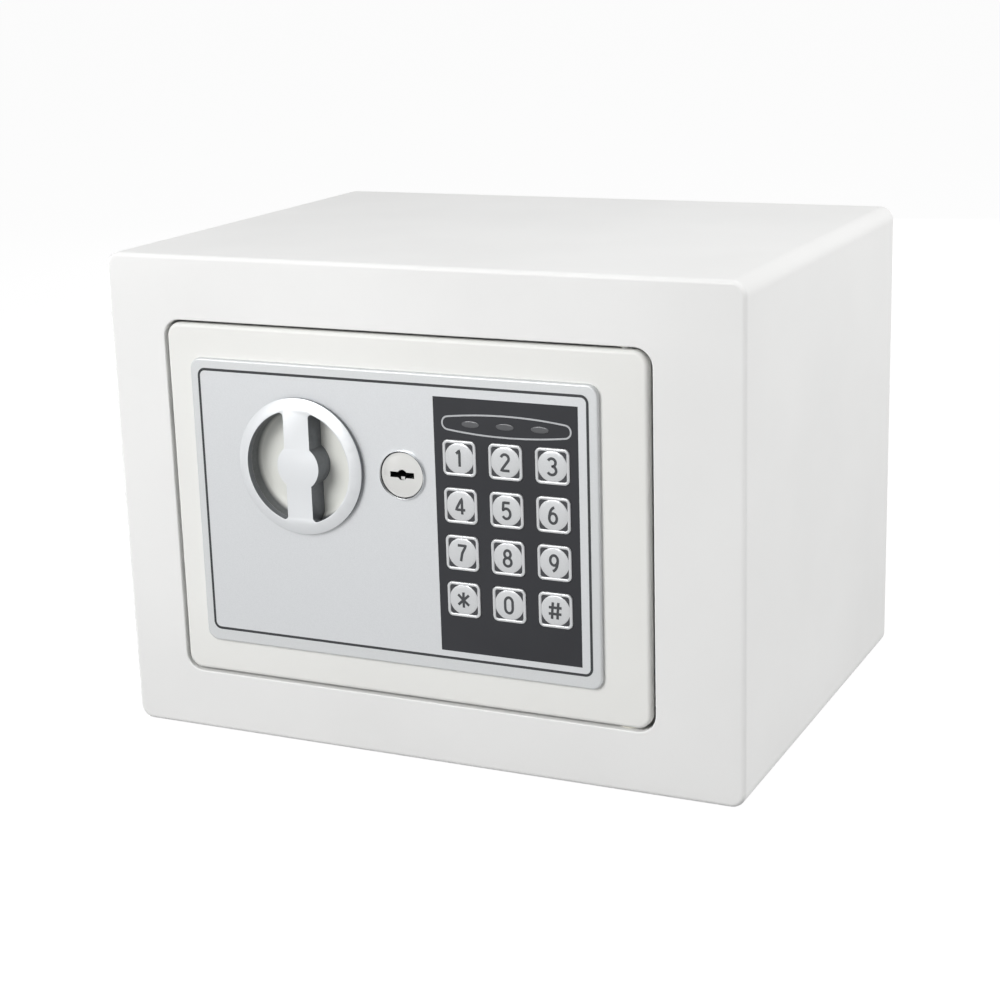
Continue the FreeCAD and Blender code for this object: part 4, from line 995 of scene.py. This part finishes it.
SWITCH_INSET = 1.2 * MM
CHIP_INSET = 0.8 * MM
CHIP_PITCH = 1.4 * MM
CHIP_TALL = 2 * MM
board_low, board_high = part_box("circuit_board")
bead_spots = []
for low, high in lumps("key_switches"):
    bead_spots += [(x, board_low.y, z) for x in (low.x, high.x)
                   for z in row(low.z, high.z, 2, SWITCH_INSET)]
flat_chips = [box for box in lumps("board_components") if box[1].y - box[0].y < CHIP_TALL]
for low, high in flat_chips:
    legs = max(4, round((high.z - low.z) / CHIP_PITCH))
    bead_spots += [(x, board_high.y, z) for x in (low.x, high.x)
                   for z in row(low.z, high.z, legs, CHIP_INSET)]
bead_mesh = bpy.data.meshes.new("bead_spots")
bead_mesh.from_pydata(bead_spots, [], [])
solder = cook(bead_recipe(), "solder_beads", finishes["contact_nickel"], start=bead_mesh,
              Radius=0.45 * MM, Tall=0.3 * MM)
fit(solder, "door", "contact_nickel")
print("beads:", len(bead_spots))

# %% [markdown]
# ## The carpet's pile
# The mat is a needle felt whose fibres stand up in a short, uneven pile. A recipe scatters points
# over the mat's upper face with a fixed seed and sets a tiny three-sided fibre on each, leaning
# at random. The holes for the floor bolts stay free, because only the real upper face is used.

# %% The pile recipe
def pile_recipe():
    tree, given = recipe("pile", Density=800000.0, Tall=0.0009, Width=0.0003, Lean=0.6, Seed=5)
    points = place(tree, "GeometryNodeDistributePointsOnFaces",
                   {"Mesh": given["Geometry"], "Density": given["Density"], "Seed": given["Seed"]})
    fibre = place(tree, "GeometryNodeMeshCone",
                  {"Vertices": 3, "Radius Top": 0.0, "Radius Bottom": given["Width"],
                   "Depth": given["Tall"]})
    low = number(tree, "MULTIPLY", given["Lean"], -1.0)
    least = vector(tree, X=low, Y=low, Z=-math.pi)
    most = vector(tree, X=given["Lean"], Y=given["Lean"], Z=math.pi)
    turn = place(tree, "FunctionNodeRandomValue", {0: least, 1: most, "Seed": given["Seed"]},
                 data_type="FLOAT_VECTOR")
    tufts = place(tree, "GeometryNodeInstanceOnPoints",
                  {"Points": points, "Instance": fibre, "Rotation": turn})
    return serve(tree, given, tufts)


# %% Carpet pile
def upper_face(node, name):
    """The faces of a node that lie level at its very top, as a new mesh."""
    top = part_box(node)[1].z
    made = bmesh.new()
    made.from_mesh(frame["nodes"][node].data)
    below = [face for face in made.faces if any(v.co.z < top - 5 * WELD for v in face.verts)]
    bmesh.ops.delete(made, geom=below, context="FACES")
    return as_mesh(made, name)


carpet_pile = cook(pile_recipe(), "carpet_pile", finishes["mat_carpet"],
                   start=upper_face("floor_mat", "mat_top"), smooth=80, Density=800000.0, Tall=0.9 * MM,
                   Width=0.28 * MM, Lean=0.6, Seed=5)
fit(carpet_pile, "cabinet", "mat_carpet")

# %% [markdown]
# ## The lock's rim and face
# The rim is a chromed ring with a polished cone on its inside, and the satin face sits at the bottom
# of that cone. A black ring fills the gap round the face: a dark piece put there as painted shade for
# the gap. A turned piece is a profile carried round an axis, so the rim, the black ring and the face's
# edge are lathes of a few corners. The middle of the face is a copy of the plug whose front is set
# back; its upright walls, in the keyway and round its edge, are painted near black as painted shade.

# %% A lathe round an axis that points to the front
def lathe(name, profile, x, z, finish, steps=96):
    """Carries a closed profile of (radius, y) corners, in metres, round the axis through x, z."""
    made = bmesh.new()
    rings = []
    for step in range(steps):
        turn = math.tau * step / steps
        rings.append([made.verts.new((x + r * math.cos(turn), y, z + r * math.sin(turn)))
                      for r, y in profile])
    for step in range(steps):
        here, there = rings[step], rings[(step + 1) % steps]
        for i in range(len(profile)):
            j = (i + 1) % len(profile)
            made.faces.new((here[i], here[j], there[j], there[i]))
    bmesh.ops.recalc_face_normals(made, faces=made.faces)
    return solid_object(name, as_mesh(made, name), finish)


# %% Lock rim, and a black ring of painted shade in the gap
FLANGE_RISE = 1.3 * MM
lock_low, lock_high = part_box("lock_body")
lock_base = lock_low.y + FLANGE_RISE


def lock_ring(name, corners, finish, tail=()):
    """A ring round the lock's axis; corners are (radius, depth behind the flange's foot) in mm.

    The tail is further corners, in metres and in the frame's own Y.
    """
    profile = [(r * MM, lock_base + y * MM) for r, y in corners]
    return lathe(name, profile + list(tail), lock_spot.x, lock_spot.z, finish)


BORE = 5.58
BARREL = 7.5
RIM_CORNERS = [(8.25, 0.0), (8.25, -0.95), (8.22, -1.08), (8.15, -1.15), (8.08, -1.1), (7.92, -0.5),
               (7.9, -0.4), (7.9, -0.05), (7.42, -0.05), (7.4, 1.0), (BORE, 1.0)]
barrel = [(BORE * MM, lock_high.y), (BARREL * MM, lock_high.y), (BARREL * MM, lock_base)]
fit(lock_ring("lock_rim", RIM_CORNERS, finishes["lock_chrome"], barrel), "door", "lock_chrome", "lock_body")
# Painted shade: a black ring fills the gap round the lock face, standing for the gap's shade.
GAP_SHADE_CORNERS = [(7.67, -0.06), (7.67, -0.36), (7.78, -0.44), (7.89, -0.38), (7.89, -0.06)]
fit(lock_ring("lock_gap_shade", GAP_SHADE_CORNERS, finishes["black_plastic"]), "door", "black_plastic")

# %% Lock face
FACE_SET_BACK = 0.95 * MM
FACE_PLATE = 1.2 * MM
# Painted shade: the lock face's upright walls, in the keyway and round the edge, are near black.
lock_wall_shade_finish = wall_shade_finish("lock_wall_shade_finish", (198, 198, 196), (26, 26, 28), 0.4, 0.85, 2600)
plug = merged_copy("lock_plug")
for vertex in plug.verts:
    if vertex.co.y < lock_low.y + FACE_PLATE:
        vertex.co.y += FACE_SET_BACK
plug_mesh = without_normals(as_mesh(plug, "lock_face"))
lock_face = solid_object("lock_face", plug_mesh, lock_wall_shade_finish)
fit(mark_upright(lock_face, lock_wall_shade_finish), "lock_core", "lock_chrome", "lock_plug")
EDGE_CORNERS = [(6.6, -0.36), (7.56, -0.36), (7.62, -0.3), (7.62, -0.09), (6.6, -0.09)]
face_edge = lock_ring("lock_face_edge", EDGE_CORNERS, lock_wall_shade_finish)
fit(mark_upright(face_edge, lock_wall_shade_finish), "lock_core", "lock_chrome")

# %% [markdown]
# ## The stage
# A pale floor under a white surround. The camera and reflections see the surround as white, and
# the object is lit at a plain level by a soft sky, three large lamps and two small low ones
# for the back and the far side. The floor shows white to the camera and still takes the object's
# shadow, because only a part of its brightness is light that falls on it.

# %% Surround
SKY_LEVEL = 0.33


def seen_directly(tree):
    """1 for rays from the camera, from a mirror or through glass."""
    rays = place(tree, "ShaderNodeLightPath")
    first = number(tree, "MAXIMUM", rays.outputs["Is Camera Ray"], rays.outputs["Is Glossy Ray"])
    return number(tree, "MAXIMUM", first, rays.outputs["Is Transmission Ray"])


world = bpy.data.worlds.new("surround")
world.use_nodes = True
world.node_tree.nodes.clear()
sky = place(world.node_tree, "ShaderNodeBackground", {"Color": (1, 1, 1, 1), "Strength": SKY_LEVEL})
white = place(world.node_tree, "ShaderNodeBackground", {"Color": (1, 1, 1, 1), "Strength": 1.0})
either = place(world.node_tree, "ShaderNodeMixShader", {0: seen_directly(world.node_tree), 1: sky, 2: white})
place(world.node_tree, "ShaderNodeOutputWorld", {"Surface": either})
scene.world = world

# %% Floor
FLOOR_HALF = 9.0
FLOOR_OWN = 0.93


def flat_square(name, half):
    """A square in the XY plane, linked to the scene."""
    mesh = bpy.data.meshes.new(name)
    mesh.from_pydata([(-half, -half, 0), (half, -half, 0), (half, half, 0), (-half, half, 0)], [],
                     [(0, 1, 2, 3)])
    square = bpy.data.objects.new(name, mesh)
    scene.collection.objects.link(square)
    return square


floor = flat_square("floor", FLOOR_HALF)
floor_paint = bpy.data.materials.new("floor_paint")
floor_paint.use_nodes = True
floor_tree = floor_paint.node_tree
floor_tree.nodes.clear()
matt = place(floor_tree, "ShaderNodeBsdfDiffuse", {"Color": (0.3, 0.3, 0.3, 1)})
faint = place(floor_tree, "ShaderNodeBsdfDiffuse", {"Color": (0.12, 0.12, 0.12, 1)})
own = place(floor_tree, "ShaderNodeEmission", {"Color": (1, 1, 1, 1), "Strength": FLOOR_OWN})
shown = place(floor_tree, "ShaderNodeAddShader", {0: faint, 1: own})
floor_mix = place(floor_tree, "ShaderNodeMixShader", {0: seen_directly(floor_tree), 1: matt, 2: shown})
place(floor_tree, "ShaderNodeOutputMaterial", {"Surface": floor_mix})
floor.data.materials.append(floor_paint)

# %% [markdown]
# ## A dark card for reflections
# Polished chrome looks like metal only where it has something dark to reflect. The card stands to
# the right and is seen by reflections alone, so it neither shades nor lights anything.

# %% Dark card
def dark_card(name, spot, size):
    """A black square at a spot, facing the lock, that only reflections see."""
    card = flat_square(name, size / 2)
    away = Vector(spot) - Vector((lock_spot.x, lock_base, lock_spot.z))
    card.rotation_mode = "QUATERNION"
    card.rotation_quaternion = away.to_track_quat("Z", "Y")
    card.location = spot
    card.data.materials.append(finish("card_black", (12, 12, 12), 0.9)[0])
    card.visible_camera = False
    card.visible_diffuse = False
    card.visible_transmission = False
    card.visible_shadow = False


dark_card("dark_card", (1.2, -0.75, 0.75), 1.9)

# %% [markdown]
# ## Lamps
# Two large soft lamps stand in front and a third stands to the right. Two small ones stand low
# behind and to the left, where they light the back and the far side but hardly reach the roof. The
# camera sees none of them, and the one on the right is kept out of reflections, so that the roof
# stays below white.

# %% Lamps
def lamp(name, spot, aim, size, power):
    """A square lamp at a spot, turned to its aim; size in metres, power in watts."""
    data = bpy.data.lights.new(name, "AREA")
    data.shape = "SQUARE"
    data.size = size
    data.energy = power
    made = bpy.data.objects.new(name, data)
    made.location = spot
    made.rotation_mode = "QUATERNION"
    made.rotation_quaternion = (Vector(spot) - Vector(aim)).to_track_quat("Z", "Y")
    made.visible_camera = False
    scene.collection.objects.link(made)
    return made


lamp("key_lamp", (-0.25, -0.8, 0.45), (0, 0, 0.08), 0.4, 3.0)
lamp("upper_lamp", (-0.4, -1.0, 0.6), (0, 0, 0.08), 0.6, 4.2)
side_lamp = lamp("side_lamp", (0.9, 0.1, 0.7), (0, 0, 0.08), 0.5, 7.0)
side_lamp.visible_glossy = False
lamp("back_lamp", (-0.35, 1.2, 0.06), (0, 0, 0.06), 0.2, 7.0)
lamp("left_lamp", (-1.2, 0.05, 0.06), (0, 0, 0.06), 0.2, 3.5)
